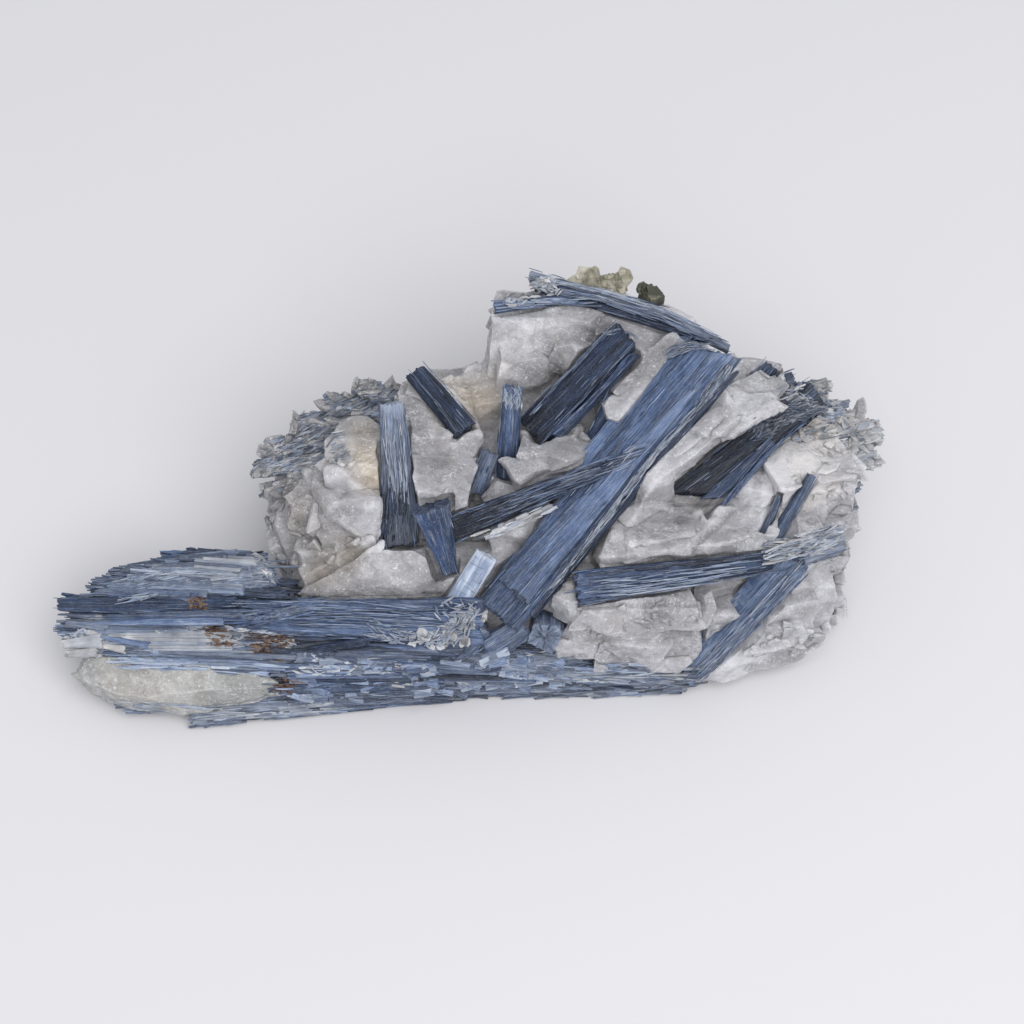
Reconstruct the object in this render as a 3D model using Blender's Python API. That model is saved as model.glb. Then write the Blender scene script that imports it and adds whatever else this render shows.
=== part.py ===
"""Kyanite blade cluster: a fist-sized lump of quartz with blue kyanite blades grown through it.

The lump lies on its flat, broken underside. X runs along the specimen, from the thin fibrous
sheaf at -X to the ragged right edge at +X. Y runs from the front (-Y) to the back, and Z is up.

Every crystal is a bundle of long flat laths, which is how kyanite cleaves. The quartz is a core
with broken chunks grown on it, and it has a pocket for each crystal that is set in it.
"""

import math
import random
from collections import namedtuple

import bmesh
import bpy
from mathutils import Euler, Matrix, Vector

# ---------------------------------------------------------------- driving dimensions, in mm
MM = 0.001  # everything is built in millimetres, and scaled by this at the end
MERGE = 0.0001  # points nearer than this are one
FLAT = math.radians(0.2)  # faces that turn less than this are one
CLEARANCE = 0.3  # gap between a crystal and the pocket that it sits in
LATH_OVERLAP = 0.35  # how far one lath of a bundle runs into the next
LATH_STEP = 0.16  # how far one lath stands above or below its bundle, as a share of the thickness
LATH_RUN = 0.045  # how far a lath runs short at an end, as a share of the bundle's length
FAR = 400.0  # larger than the whole specimen

# ---------------------------------------------------------------- the pieces' forms
# A straight crystal, from its root to its tip. facing is the way that its broad side looks, taper is
# its width at the tip as a share of its width at the root, and clear is how far its pocket reaches
# out over its broad side, to bare it.
Arm = namedtuple("Arm", "root tip width thickness facing laths taper clear", defaults=(3, 1.0, 0.0))
# A broken lump of quartz: a block of that size, turned (about X, Y, Z in degrees), its corners cut.
Chunk = namedtuple("Chunk", "centre size turn cuts", defaults=(8,))

UP = (0.0, -0.35, 0.94)  # the way that the top of the lump slopes
FRONT = (0.0, -0.85, 0.5)  # the way that its front wall looks
BACK = (0.1, 0.9, 0.4)

# The lump without its chunks: a ring round its foot, and a ring of shoulders that rises to the back.
CORE_FOOT = [
    (-41, -6, 0), (-34, -15, 0), (-12, -23, 0), (30, -24, 0), (52, -19, 0), (57, -8, 0),
    (59, 8, 0), (50, 22, 0), (28, 30, 0), (-2, 31, 0), (-24, 22, 0), (-39, 8, 0),
]
CORE_SHOULDER = [
    (-38, -5, 22), (-30, -13, 19), (-10, -19, 21), (30, -20, 23), (53, -14, 21), (57, -4, 22),
    (55, 8, 26), (44, 17, 31), (26, 23, 35), (-2, 25, 27), (-20, 17, 28), (-34, 8, 25),
]  # fmt: skip

# The crown, the highest lump: a steep face to the left, and a broad one that slopes to the front.
CROWN = [
    (-3.6, 25.3, 45.6), (3.0, 22.5, 44.6), (14.5, 23.0, 46.0), (17.0, 26.0, 46.4), (16.0, 31.0, 43.6),
    (-2.5, 31.0, 44.4), (-4.2, 15.5, 32.0), (4.5, 17.0, 33.0), (12.0, 16.5, 33.5), (18.0, 19.0, 36.0),
    (-4.0, 32.0, 18.0), (17.0, 32.0, 18.0), (8.0, 12.0, 24.0),
]  # fmt: skip
# The bright wedge at the front left, with one flat triangular face between its ridge and the sheaf.
WEDGE = [
    (-21.0, -12.4, 31.2), (-38.4, -19.4, 22.6), (-10.0, -18.6, 26.5), (-37.6, -20.2, 20.0),
    (-11.0, -21.2, 21.5), (-31.0, -9.0, 20.0), (-12.0, -9.0, 22.0), (-25.0, -20.0, 9.0),
]  # fmt: skip
# The grey wall that closes the lump at the left.
LEFT_WALL = [
    (-37.0, -1.5, 30.0), (-25.0, -5.0, 33.0), (-43.0, 4.0, 24.0), (-36.0, 9.5, 30.0), (-26.0, 11.0, 33.0),
    (-44.5, -3.5, 9.0), (-39.5, -14.6, 13.0), (-28.0, -16.5, 18.0), (-41.0, 7.0, 8.0), (-43.0, -3.5, 23.0),
    (-24.0, 8.0, 10.0), (-43.0, 2.0, 0.5), (-38.0, -13.5, 0.5),
]  # fmt: skip
HAND_CUT = {"crown": CROWN, "wedge": WEDGE, "left_wall": LEFT_WALL}

CHUNKS = {
    "crown_shoulder": Chunk((24, 23.5, 37), (18, 10, 14), (0, 8, -18)),
    "lump_between_blades": Chunk((24.5, 15.5, 36.5), (20, 8.6, 12.5), (0, -22, 36)),
    "lump_mid": Chunk((8.0, 3.8, 28.5), (14.5, 12, 13.5), (-14, 0, 12)),
    "lump_mid_low": Chunk((-2.0, -2.0, 26.0), (8, 7, 8.5), (-10, 0, 40), 4),
    "round_lump_back": Chunk((-13.5, 8.6, 31.6), (14.5, 13, 15), (-12, 0, 10), 8),
    "round_lump_front": Chunk((-12.5, -2.5, 29.0), (12.5, 14, 13), (-16, 6, -8), 8),
    "yellow_lump": Chunk((-27.0, 2.0, 31.5), (12.0, 13, 12), (-18, 0, 5)),
    "white_lump": Chunk((-28.5, -5.5, 28.0), (13, 11, 11), (-24, 0, -10)),
    "warm_wall": Chunk((-6.0, 15.5, 27.0), (11, 10, 17), (-8, 0, 6), 4),
    "diagonal_lump": Chunk((30.0, 3.0, 32.5), (31, 10.0, 14), (-6, -9, 38), 7),
    "diagonal_end": Chunk((42.0, 10.8, 34.0), (17, 10.5, 12), (-8, 0, 32), 5),
    "back_right_lump": Chunk((43.5, 17.0, 31.0), (13, 8, 13), (-10, 0, -10), 4),
    "right_inner_lump": Chunk((46.5, 0.0, 25.5), (15, 9, 11), (-10, 0, 40), 5),
    "right_lump": Chunk((52.5, 2.0, 24.0), (15, 17, 17), (-16, 4, 14), 7),
    "right_tip": Chunk((58.5, 7.5, 21.0), (12, 12, 14), (-12, 12, -20), 5),
    "right_flank": Chunk((54.6, -6.0, 17.0), (9, 16, 17), (0, 8, 8), 5),
    "floor_slab": Chunk((33.0, -10.0, 24.0), (44, 14, 12.5), (-16, 0, 8)),
    "floor_slab_left": Chunk((9.0, -16.5, 20.0), (11, 12, 12), (-20, 0, -14), 4),
    "front_slope": Chunk((21.5, -20.5, 15.0), (29, 11, 22), (-16, 0, 3)),
    "front_ledge": Chunk((22.0, -22.5, 8.0), (25, 8, 12), (-8, 0, -2), 5),
    "front_right": Chunk((45.5, -18.8, 11.0), (24, 10.5, 18), (-12, 4, 14)),
    "front_right_tip": Chunk((52.6, -14.0, 14.6), (9, 9, 15), (-10, 8, 20), 5),
    "apron": Chunk((-4.5, -15.5, 21.0), (14, 11, 11), (-20, 0, 8), 4),
    "splinter_of_quartz": Chunk((1.0, -8.2, 28.6), (13.5, 4, 8), (-24, -14, 25), 4),
    "back_left_lump": Chunk((-20.0, 17.0, 13.5), (26, 13, 26), (8, 0, 22)),
    "back_mid_lump": Chunk((13.0, 27.6, 15.0), (28, 11, 28), (8, 0, -4)),
    "back_right_low": Chunk((39.0, 22.0, 15.0), (26, 15, 26), (8, 0, -22)),
    # the far side and the two ends
    "right_low_front": Chunk((55.0, -10.0, 7.0), (10, 13, 14), (0, 6, 16)),
    "right_low_mid": Chunk((57.5, 3.0, 9.0), (10, 14, 18), (0, 10, -4)),
    "right_low_back": Chunk((53.0, 15.0, 10.0), (12, 13, 19), (6, 8, -24)),
    "back_slope_left": Chunk((-13.0, 23.0, 19.0), (15, 10, 12), (16, 0, 14)),
    "back_slope_mid": Chunk((4.0, 29.5, 27.0), (13, 8, 15), (14, 0, -8)),
    "back_slope_right": Chunk((29.0, 26.0, 29.0), (17, 9, 14), (14, 0, -20)),
    "back_foot": Chunk((24.0, 29.0, 7.0), (20, 9, 14), (-4, 0, -10)),
    "left_foot": Chunk((-40.5, 3.0, 6.0), (8, 12, 12), (0, -8, 10)),
    # smaller lumps and ledges on the faces that show
    "crown_ledge": Chunk((1.5, 18.5, 37.5), (10, 5, 8), (-14, 0, 12)),
    "crown_front": Chunk((11.5, 20.0, 39.0), (9, 6, 9), (-20, 10, -20)),
    "wall_lump_high": Chunk((-35.5, -3.5, 25.0), (11, 9, 10), (-18, -10, 12)),
    "wall_lump_mid": Chunk((-33.5, -10.5, 20.0), (11, 9, 9), (-24, 0, -18)),
    "wall_lump_low": Chunk((-40.5, -2.5, 14.0), (8, 10, 10), (-10, -14, 20)),
    "brown_ledge": Chunk((-31.0, -13.6, 24.0), (16, 4, 5), (-30, -28, 22), 5),
    "round_lump_top": Chunk((-14.0, 13.0, 35.0), (9, 6, 7), (-10, 0, -20)),
    "lump_mid_chip": Chunk((3.5, 0.5, 32.0), (8, 7, 6), (-20, 0, 30)),
    "diagonal_ridge": Chunk((34.0, 5.0, 37.0), (15, 6, 7), (-20, -12, 40)),
    "floor_step": Chunk((26.0, -12.0, 28.0), (15, 6, 6), (-20, 0, 4)),
    "floor_step_right": Chunk((40.0, -9.0, 27.6), (12, 7, 6), (-14, 0, -10)),
    "right_lump_face": Chunk((51.0, -3.0, 27.0), (9, 9, 8), (-24, 0, 24)),
    "front_layer_high": Chunk((23.0, -22.6, 22.0), (26, 5, 5), (-20, 2, 2)),
    "front_layer_mid": Chunk((19.0, -25.2, 14.6), (22, 4, 4.5), (-14, -2, -3)),
    "front_layer_low": Chunk((25.0, -25.6, 9.6), (18, 4, 4.5), (-10, 3, 2)),
    "front_right_layer": Chunk((46.0, -22.6, 13.6), (18, 5, 6), (-16, 6, 12)),
    "front_left_foot": Chunk((-21.0, -17.5, 8.0), (27, 9, 16), (0, 0, -14), 4),
}

# Where the lump ends and the sheaf begins, as points on the floor from the back to the front.
SEAM = [(-46.5, -7.0), (-39.0, -20.6), (-10.0, -26.4)]
SEAM_TOP = 22.0
LENS_GAP = 0.04  # how much larger the lens's pocket is than the lens, as a share

# ---------------------------------------------------------------- the crystals, in mm
CRYSTALS = {
    # The largest blade runs down across the lump, and a thinner one branches from it to the left.
    "forked_blade": [
        Arm((-2.8, -24.6, 23.4), (36.2, 17.0, 46.0), 10.2, 3.2, (-0.32, -0.28, 0.9), 4, 1.0, 3.0),
        Arm((-11.6, -10.4, 29.2), (22.6, 0.4, 38.4), 5.4, 3.6, (-0.1, -0.62, 0.78), 2, 0.75, 3.0),
    ],
    "upper_blade": [
        Arm((3.4, 7.6, 33.2), (20.6, 19.8, 47.2), 8.4, 3.6, (-0.3, -0.3, 0.9), 3, 0.84, 1.0),
    ],
    "back_blade": [
        Arm((3.0, 31.2, 48.0), (38.2, 19.4, 46.0), 2.8, 5.4, (0.0, -0.3, 0.95), 2),
    ],
    "back_splinter": [
        Arm((-3.4, 25.6, 46.8), (14.6, 28.2, 47.0), 2.2, 2.8, (0.0, -0.4, 0.92), 2, 0.6),
    ],
    "small_upright_blade": [
        Arm((-1.0, 0.8, 28.6), (0.2, 12.2, 42.0), 4.2, 2.4, (-0.2, -0.75, 0.62), 2, 1.0, 2.0),
    ],
    "left_upright_blade": [
        Arm((-19.6, -12.4, 27.0), (-21.4, 8.6, 42.6), 7.0, 3.0, (0.1, -0.6, 0.8), 4, 0.7, 4.0),
    ],
    "fan_stub": [
        Arm((-11.6, -16.6, 25.6), (-14.4, -8.2, 35.0), 4.0, 3.2, (0.0, -0.75, 0.66), 3, 1.9, 4.0),
    ],
    "glassy_blade": [
        Arm((-10.6, -22.6, 22.2), (-4.4, -15.8, 30.4), 4.6, 2.2, (-0.15, -0.7, 0.7), 1, 1.0, 4.0),
    ],
    "back_left_blade": [
        Arm((-17.6, 16.2, 41.0), (-8.0, 5.4, 37.2), 4.6, 2.6, (0.5, 0.1, 0.86), 2, 1.25, 2.0),
    ],
    "right_blade": [
        Arm((30.0, -4.4, 29.4), (55.4, 15.0, 35.4), 6.2, 3.0, (-0.1, -0.4, 0.91), 2, 1.1, 5.0),
        Arm((34.0, -5.4, 28.8), (47.0, 5.6, 33.6), 3.2, 3.4, (0.1, -0.5, 0.86), 1, 0.8, 4.0),
    ],
    "back_right_blade": [
        Arm((41.6, 13.6, 34.4), (47.2, 19.4, 38.0), 3.2, 2.6, (-0.5, -0.3, 0.8), 1, 0.9),
        Arm((45.0, 15.6, 35.0), (51.4, 17.8, 35.8), 3.6, 2.2, (0.1, -0.2, 0.95), 1, 0.9),
    ],
    # Two blades cross at the right, and a crust of short laths fans out from where they meet.
    "crossed_blades": [
        Arm((11.0, -21.2, 27.8), (52.0, -15.4, 29.0), 6.6, 3.4, (0.0, -0.6, 0.8), 3, 0.5, 3.0),
        Arm((31.6, -27.6, 4.8), (50.4, -16.2, 29.4), 5.0, 4.8, (0.62, -0.62, 0.48), 2, 1.35, 3.0),
        Arm((46.0, -15.6, 27.4), (59.0, -9.8, 26.0), 5.0, 4.6, (0.1, -0.5, 0.86), 2, 1.1, 3.0),
    ],
    "right_splinters": [
        Arm((46.6, -12.0, 28.8), (53.6, -1.6, 34.4), 2.4, 2.2, (0.4, -0.5, 0.77), 1, 0.7, 2.0),
        Arm((44.8, -11.4, 28.8), (47.8, -4.8, 32.4), 1.6, 2.4, (-0.3, -0.4, 0.86), 1, 0.6, 2.0),
    ],
    "hidden_blade": [
        Arm((13.6, 4.6, 31.0), (18.6, 11.8, 39.0), 3.4, 2.4, (-0.3, -0.5, 0.8), 1),
    ],
    "crevice_blade": [
        Arm((-6.6, -2.0, 28.0), (-3.6, 3.6, 33.6), 3.4, 2.0, (-0.3, -0.6, 0.74), 1),
    ],
    "hex_stub": [
        Arm((6.0, -22.0, 16.4), (5.8, -27.6, 21.4), 6.0, 5.4, (0.35, 0.6, 0.7), 1, 0.95),
    ],
    # The cap: a broad blade that lies on the sheaf, its right end broken to white fibres.
    "cap_blade": [
        Arm((-4.8, -25.4, 22.8), (-52.0, -22.4, 20.2), 9.4, 3.4, (0.0, -0.62, 0.78), 4, 0.56, 2.0),
    ],
    "chip_left": [
        Arm((-11.4, -29.4, 17.8), (-4.4, -25.8, 21.4), 4.6, 3.2, (0.1, -0.8, 0.6), 2),
    ],
    "chip_mid": [
        Arm((-4.8, -28.9, 18.6), (2.6, -25.0, 21.6), 5.6, 3.4, (-0.1, -0.75, 0.65), 2, 0.8),
    ],
    # The dark blade that crosses the top of the sheaf and carries its leftmost tip.
    "sheaf_blade": [
        Arm((-49.0, -20.4, 19.4), (-82.6, -18.0, 15.6), 4.4, 2.6, (0.0, -0.35, 0.93), 3, 0.6),
    ],
}

# Bundles of short laths at the ragged edges of the lump, and blades on its far side.
EDGES = {
    "left_edge_blades": [
        Arm((-26, 7.5, 31.5), (-44.6, 7.4, 28.4), 4.6, 2.4, (-0.1, 0.1, 0.98), 1, 0.6),
        Arm((-26, 4.5, 30.0), (-46.8, 4.2, 26.4), 4.6, 2.6, (-0.2, -0.2, 0.96), 1, 0.5),
        Arm((-28, 1.4, 28.0), (-45.4, 1.0, 24.0), 4.0, 2.6, (-0.2, -0.5, 0.84), 1, 0.6),
        Arm((-24, 9.6, 32.5), (-39.0, 11.4, 31.0), 4.6, 2.4, (-0.1, 0.3, 0.95), 1, 0.7),
        Arm((-20, 11.0, 34.0), (-34.0, 14.0, 33.2), 4.6, 2.4, (-0.1, 0.3, 0.95), 1, 0.7),
        Arm((-16, 12.6, 34.6), (-28.6, 16.2, 34.8), 4.6, 2.4, (-0.1, 0.3, 0.95), 1, 0.7),
    ],
    "right_edge_blades": [
        Arm((47, 12.0, 33.5), (60.4, 12.4, 32.6), 4.6, 2.6, (0.1, 0.2, 0.97), 1, 0.7),
        Arm((46, 14.6, 33.0), (57.4, 16.4, 33.6), 4.4, 2.6, (0.1, 0.3, 0.95), 1, 0.7),
        Arm((54, 7.0, 28.5), (67.0, 11.4, 28.2), 4.6, 2.6, (0.3, -0.1, 0.94), 1, 0.8),
        Arm((53, 4.5, 27.5), (66.4, 7.6, 25.6), 4.4, 3.0, (0.3, -0.3, 0.9), 1, 0.8),
        Arm((52, 9.4, 30.5), (64.0, 12.0, 30.6), 5.0, 2.8, (0.1, 0.1, 0.97), 1, 0.8),
    ],
    "right_flank_blades": [
        Arm((53, -0.4, 26.0), (62.6, 2.0, 25.0), 3.8, 3.0, (0.4, -0.2, 0.88), 1, 0.8),
        Arm((52, -3.0, 25.6), (61.6, -1.6, 24.4), 3.8, 3.0, (0.4, -0.3, 0.86), 1, 0.8),
    ],
    "mica_book": [
        Arm((11.6, 32.0, 42.0), (20.6, 32.6, 44.4), 4.6, 1.8, (-0.5, 0.1, 0.85), 2),
        Arm((10.6, 32.4, 41.4), (15.8, 33.6, 44.6), 5.0, 1.6, (-0.6, -0.2, 0.75), 2),
    ],
    "green_mica": [
        Arm((24.4, 27.6, 40.0), (25.4, 29.8, 45.8), 3.4, 3.0, (-0.7, -0.5, 0.3), 2, 0.9),
    ],
    "rear_blade_high": [
        Arm((21, 32.5, 29), (52, 22.0, 16), 7.0, 3.0, BACK, 3, 0.8, 2.0),
    ],
    "rear_blade_low": [
        Arm((-24, 24.0, 9), (17, 34.0, 20), 8.0, 3.2, BACK, 3, 0.8, 2.0),
    ],
    "rear_blade_left": [
        Arm((-41, 8.0, 16), (-16, 23.0, 26), 6.0, 3.0, (-0.4, 0.8, 0.35), 2, 0.8, 2.0),
    ],
}

# ---------------------------------------------------------------- the sheaf at the left
# Its laths run from a line of tips, fanned round its left end from the back to the front foot,
# to a line of roots beside the lump. Both lines are read at the same share of the way along.
SHEAF_TIPS = [
    (-62.0, -9.6, 18.2), (-69.0, -11.8, 17.8), (-76.0, -14.6, 16.4), (-82.4, -17.6, 14.6),
    (-81.6, -20.6, 13.0), (-79.6, -23.6, 12.0), (-77.0, -27.0, 10.4),
]  # fmt: skip
SHEAF_ROOTS = [
    (-45.0, -11.0, 19.0), (-43.0, -14.0, 19.8), (-40.0, -18.0, 19.6), (-33.0, -21.0, 18.0),
    (-26.0, -24.0, 16.6), (-22.0, -26.6, 15.2), (-20.0, -29.0, 12.6),
]  # fmt: skip
SHEAF_FACING = [(0, 0.3, 0.95), (0, 0.0, 1.0), (0, -0.3, 0.95), (0, -0.5, 0.86), (0, -0.7, 0.7)]
SHEAF_LATHS = 26
SHEAF_CORE = [
    (-75, -15.5, 13.6), (-76, -23, 11.6), (-74, -27, 3.0), (-74, -16, 4.0), (-46, -11.0, 16.5),
    (-39, -20, 17.0), (-14, -26.6, 15.6), (-12, -28.0, 3.0), (-12, -27.0, 0.0), (-46, -12, 0.0),
    (-40, -30, 8), (-66, -29, 0.0), (-30, -31, 0.0), (-64, -14, 1.0), (-76, -25, 4.0),
]  # fmt: skip
SHEAF_FOOT = [
    Arm((-9.6, -28.2, 4.6), (-72.0, -31.2, 3.4), 5.4, 3.0, (0, -0.8, 0.6), 3, 0.8),
    Arm((-12.0, -28.4, 1.8), (-60.0, -34.4, 1.8), 3.6, 2.6, (0, -0.9, 0.4), 2, 0.7),
    Arm((-12.0, -28.8, 9.6), (-42.0, -30.4, 8.4), 6.0, 3.0, (0, -0.8, 0.6), 3, 0.8),
    Arm((-13.0, -28.4, 14.2), (-40.0, -28.6, 13.2), 5.6, 3.0, (0, -0.75, 0.66), 3, 0.8),
]
# The yellowish lens of quartz in the front of the sheaf.
TAIL_QUARTZ = [
    (-81.2, -28.4, 7.6), (-77.6, -26.4, 12.0), (-70.0, -27.6, 14.0), (-56.0, -28.6, 14.0),
    (-46.0, -30.0, 10.8), (-40.0, -31.4, 7.6), (-77.0, -31.0, 4.2), (-70.0, -33.2, 3.5),
    (-56.0, -34.2, 4.4), (-46.0, -33.0, 5.6), (-66.0, -33.6, 9.0), (-74.0, -31.8, 9.6),
    (-55.0, -32.8, 10.8), (-60.0, -25.6, 8.0), (-74.0, -25.0, 7.0),
]  # fmt: skip
# Long laths seen edge-on along the front foot of the lump.
FOOT_LAYERS = [
    Arm((-14.0, -27.8, 2.4), (33.0, -27.0, 2.4), 4.2, 3.2, (0, -0.95, 0.3), 2, 1.0, 2.0),
    Arm((-13.0, -27.2, 6.6), (30.0, -26.2, 5.4), 4.2, 3.4, (0, -0.9, 0.4), 2, 1.0, 2.0),
    Arm((-13.0, -26.6, 11.0), (14.0, -25.6, 8.2), 4.6, 3.4, (0, -0.85, 0.5), 2, 1.0, 2.0),
]

# Which earlier crystals each crystal gives way to, where they grew into each other.
GIVES_WAY = {
    "glassy_blade": ["forked_blade"],
    "cap_blade": ["forked_blade", "glassy_blade"],
    "fan_stub": ["forked_blade", "left_upright_blade"],
    "hidden_blade": ["forked_blade", "upper_blade"],
    "small_upright_blade": ["forked_blade", "upper_blade"],
    "crevice_blade": ["small_upright_blade", "forked_blade"],
    "back_blade": ["forked_blade", "upper_blade"],
    "back_splinter": ["back_blade"],
    "back_right_blade": ["right_blade", "forked_blade"],
    "chip_left": ["cap_blade", "forked_blade"],
    "chip_mid": ["cap_blade", "forked_blade", "chip_left"],
    "hex_stub": ["forked_blade", "chip_mid"],
    "right_edge_blades": ["right_blade", "back_right_blade"],
    "right_flank_blades": ["crossed_blades"],
    "green_mica": ["back_blade"],
    "mica_book": ["back_blade", "back_splinter"],
    "rear_blade_high": ["green_mica"],
    "left_edge_blades": ["left_upright_blade", "rear_blade_left", "back_left_blade"],
    "sheaf_blade": ["cap_blade"],
    "foot_layers": ["crossed_blades"],
    "rear_blade_low": ["rear_blade_left"],
}
BESIDE_THE_SHEAF = ["cap_blade", "sheaf_blade", "chip_left", "chip_mid", "glassy_blade", "foot_layers"]

# ---------------------------------------------------------------- finish of each kind of piece
FINISHES = {
    "quartz": ((0.62, 0.60, 0.57), 0.35),
    "yellow_quartz": ((0.50, 0.48, 0.40), 0.35),
    "kyanite": ((0.07, 0.11, 0.24), 0.42),
    "pale_kyanite": ((0.22, 0.27, 0.38), 0.5),
    "mica": ((0.30, 0.29, 0.20), 0.4),
}
SLOTS = {
    "quartz_matrix": "quartz",
    "tail_quartz": "yellow_quartz",
    "kyanite_sheaf": "pale_kyanite",
    "foot_layers": "pale_kyanite",
    "left_edge_blades": "pale_kyanite",
    "right_edge_blades": "pale_kyanite",
    "right_flank_blades": "pale_kyanite",
    "mica_book": "mica",
    "green_mica": "mica",
}


def empty_scene():
    for obj in list(bpy.data.objects):
        bpy.data.objects.remove(obj, do_unlink=True)


def finish_of(name):
    """The material of a finish, made the first time that it is asked for."""
    if name in bpy.data.materials:
        return bpy.data.materials[name]
    colour, roughness = FINISHES[name]
    material = bpy.data.materials.new(name)
    material.use_nodes = True
    shader = material.node_tree.nodes["Principled BSDF"]
    shader.inputs["Base Color"].default_value = (*colour, 1.0)
    shader.inputs["Roughness"].default_value = roughness
    shader.inputs["Metallic"].default_value = 0.0
    return material


def object_of(name, form, collection):
    """An object with the mesh of a bmesh, which is freed."""
    bmesh.ops.triangulate(form, faces=form.faces[:])
    bmesh.ops.recalc_face_normals(form, faces=form.faces[:])
    if form.calc_volume(signed=True) < 0:
        bmesh.ops.reverse_faces(form, faces=form.faces[:])
    mesh = bpy.data.meshes.new(name)
    form.to_mesh(mesh)
    form.free()
    obj = bpy.data.objects.new(name, mesh)
    collection.objects.link(obj)
    return obj


# ---------------------------------------------------------------- solids of one piece
def hull_of(points, name, collection):
    """The convex solid round points given in mm."""
    form = bmesh.new()
    for point in points:
        form.verts.new(point)
    hull = bmesh.ops.convex_hull(form, input=form.verts[:])
    inside = set(hull["geom_interior"]) | set(hull["geom_unused"])
    bmesh.ops.delete(form, geom=[v for v in inside if isinstance(v, bmesh.types.BMVert)], context="VERTS")
    return object_of(name, form, collection)


def chunk_of(chunk, name, collection):
    """A block whose corners are broken off by planes, as a stone breaks."""
    rng = random.Random(name)
    form = bmesh.new()
    bmesh.ops.create_cube(form, size=1.0)
    bmesh.ops.scale(form, vec=chunk.size, verts=form.verts[:])
    half = Vector(chunk.size) / 2
    for _ in range(chunk.cuts):
        normal = Vector([rng.gauss(0, 1) for _ in range(3)]).normalized()
        reach = sum(abs(n) * h for n, h in zip(normal, half))
        cut = bmesh.ops.bisect_plane(
            form,
            geom=form.verts[:] + form.edges[:] + form.faces[:],
            plane_co=normal * reach * rng.uniform(0.66, 0.86),
            plane_no=normal,
            clear_outer=True,
        )
        rim = [e for e in cut["geom_cut"] if isinstance(e, bmesh.types.BMEdge)]
        bmesh.ops.holes_fill(form, edges=rim)
    turn = Euler([math.radians(a) for a in chunk.turn]).to_matrix().to_4x4()
    bmesh.ops.transform(form, matrix=Matrix.Translation(chunk.centre) @ turn, verts=form.verts[:])
    return object_of(name, form, collection)


def axes_of(arm):
    """The unit vectors along a crystal, across it and out of its broad side."""
    along = (Vector(arm.tip) - Vector(arm.root)).normalized()
    facing = Vector(arm.facing)
    out = (facing - along * facing.dot(along)).normalized()
    return along, out.cross(along), out


def laths_of(arm, name):
    """The corners of each lath of a crystal, in mm: eight points a lath."""
    rng = random.Random(name)
    along, across, out = axes_of(arm)
    length = (Vector(arm.tip) - Vector(arm.root)).length
    edges = [0.0]
    for _ in range(arm.laths):
        edges.append(edges[-1] + rng.uniform(0.7, 1.3))
    bundle = []
    for i in range(arm.laths):
        low = (edges[i] / edges[-1] - 0.5) * arm.width - (LATH_OVERLAP if i else 0)
        high = (edges[i + 1] / edges[-1] - 0.5) * arm.width + (LATH_OVERLAP if i < arm.laths - 1 else 0)
        step = rng.uniform(-LATH_STEP, LATH_STEP) * arm.thickness if arm.laths > 1 else 0.0
        ends = [0.0, length]
        if arm.laths > 1:
            ends = [rng.uniform(0, LATH_RUN) * length, length * (1 - rng.uniform(0, LATH_RUN))]
        slants = [rng.uniform(-0.5, 0.5), rng.uniform(-0.5, 0.5)]
        thickness = arm.thickness * rng.uniform(0.86, 1.0)
        corners = []
        for end, taper, slant in zip(ends, (1.0, arm.taper), slants):
            for v in (low * taper, high * taper):
                for w in (-thickness / 2, thickness / 2):
                    u = end + slant * (v - (low + high) / 2 * taper)
                    corners.append(Vector(arm.root) + along * u + across * v + out * (w + step))
        bundle.append(corners)
    return bundle


def pocket_of(arm, name, collection, clear=0.0):
    """The tapered block of space that a crystal needs in what it is set in, and clear over it."""
    along, across, out = axes_of(arm)
    root = Vector(arm.root)
    points = [p - root for corners in laths_of(arm, name) for p in corners]
    spots = [(p.dot(along), p.dot(across), p.dot(out)) for p in points]
    middle = (Vector(arm.tip) - root).length / 2
    near, far = [s for s in spots if s[0] < middle], [s for s in spots if s[0] >= middle]
    ends = [min(s[0] for s in spots) - CLEARANCE, max(s[0] for s in spots) + CLEARANCE]
    corners = []
    low = min(s[2] for s in spots) - CLEARANCE
    high = max(s[2] for s in spots) + CLEARANCE + clear
    for side in (-1, 1):
        # the flank's slope, and how far out it has to stand to have every corner inside it
        slope = (max(side * s[1] for s in far) - max(side * s[1] for s in near)) / (2 * middle)
        reach = max(side * s[1] - slope * s[0] for s in spots) + CLEARANCE
        for end in ends:
            flank = root + along * end + across * side * (reach + slope * end)
            corners += [flank + out * low, flank + out * high]
    return hull_of(corners, name + "_pocket", collection)


# ---------------------------------------------------------------- joining and cutting
def boolean(target, tools, operation):
    """Joins tools to a target, or cuts them from it, and removes them."""
    for tool in tools:
        modifier = target.modifiers.new("boolean", "BOOLEAN")
        modifier.operation = operation
        modifier.solver = "EXACT"
        modifier.object = tool
        bpy.context.view_layer.update()
        graph = bpy.context.evaluated_depsgraph_get()
        mesh = bpy.data.meshes.new_from_object(target.evaluated_get(graph))
        target.modifiers.clear()
        target.data = mesh
        tidy(mesh)
        bpy.data.objects.remove(tool, do_unlink=True)
    return target


def tidy(mesh):
    """Merges the points and faces that a Boolean leaves double, and cuts the faces to triangles."""
    form = bmesh.new()
    form.from_mesh(mesh)
    bmesh.ops.remove_doubles(form, verts=form.verts[:], dist=MERGE)
    bmesh.ops.dissolve_degenerate(form, edges=form.edges[:], dist=MERGE)
    bmesh.ops.dissolve_limit(form, angle_limit=FLAT, verts=form.verts[:], edges=form.edges[:])
    bmesh.ops.triangulate(form, faces=form.faces[:])
    form.to_mesh(mesh)
    form.free()


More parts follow.
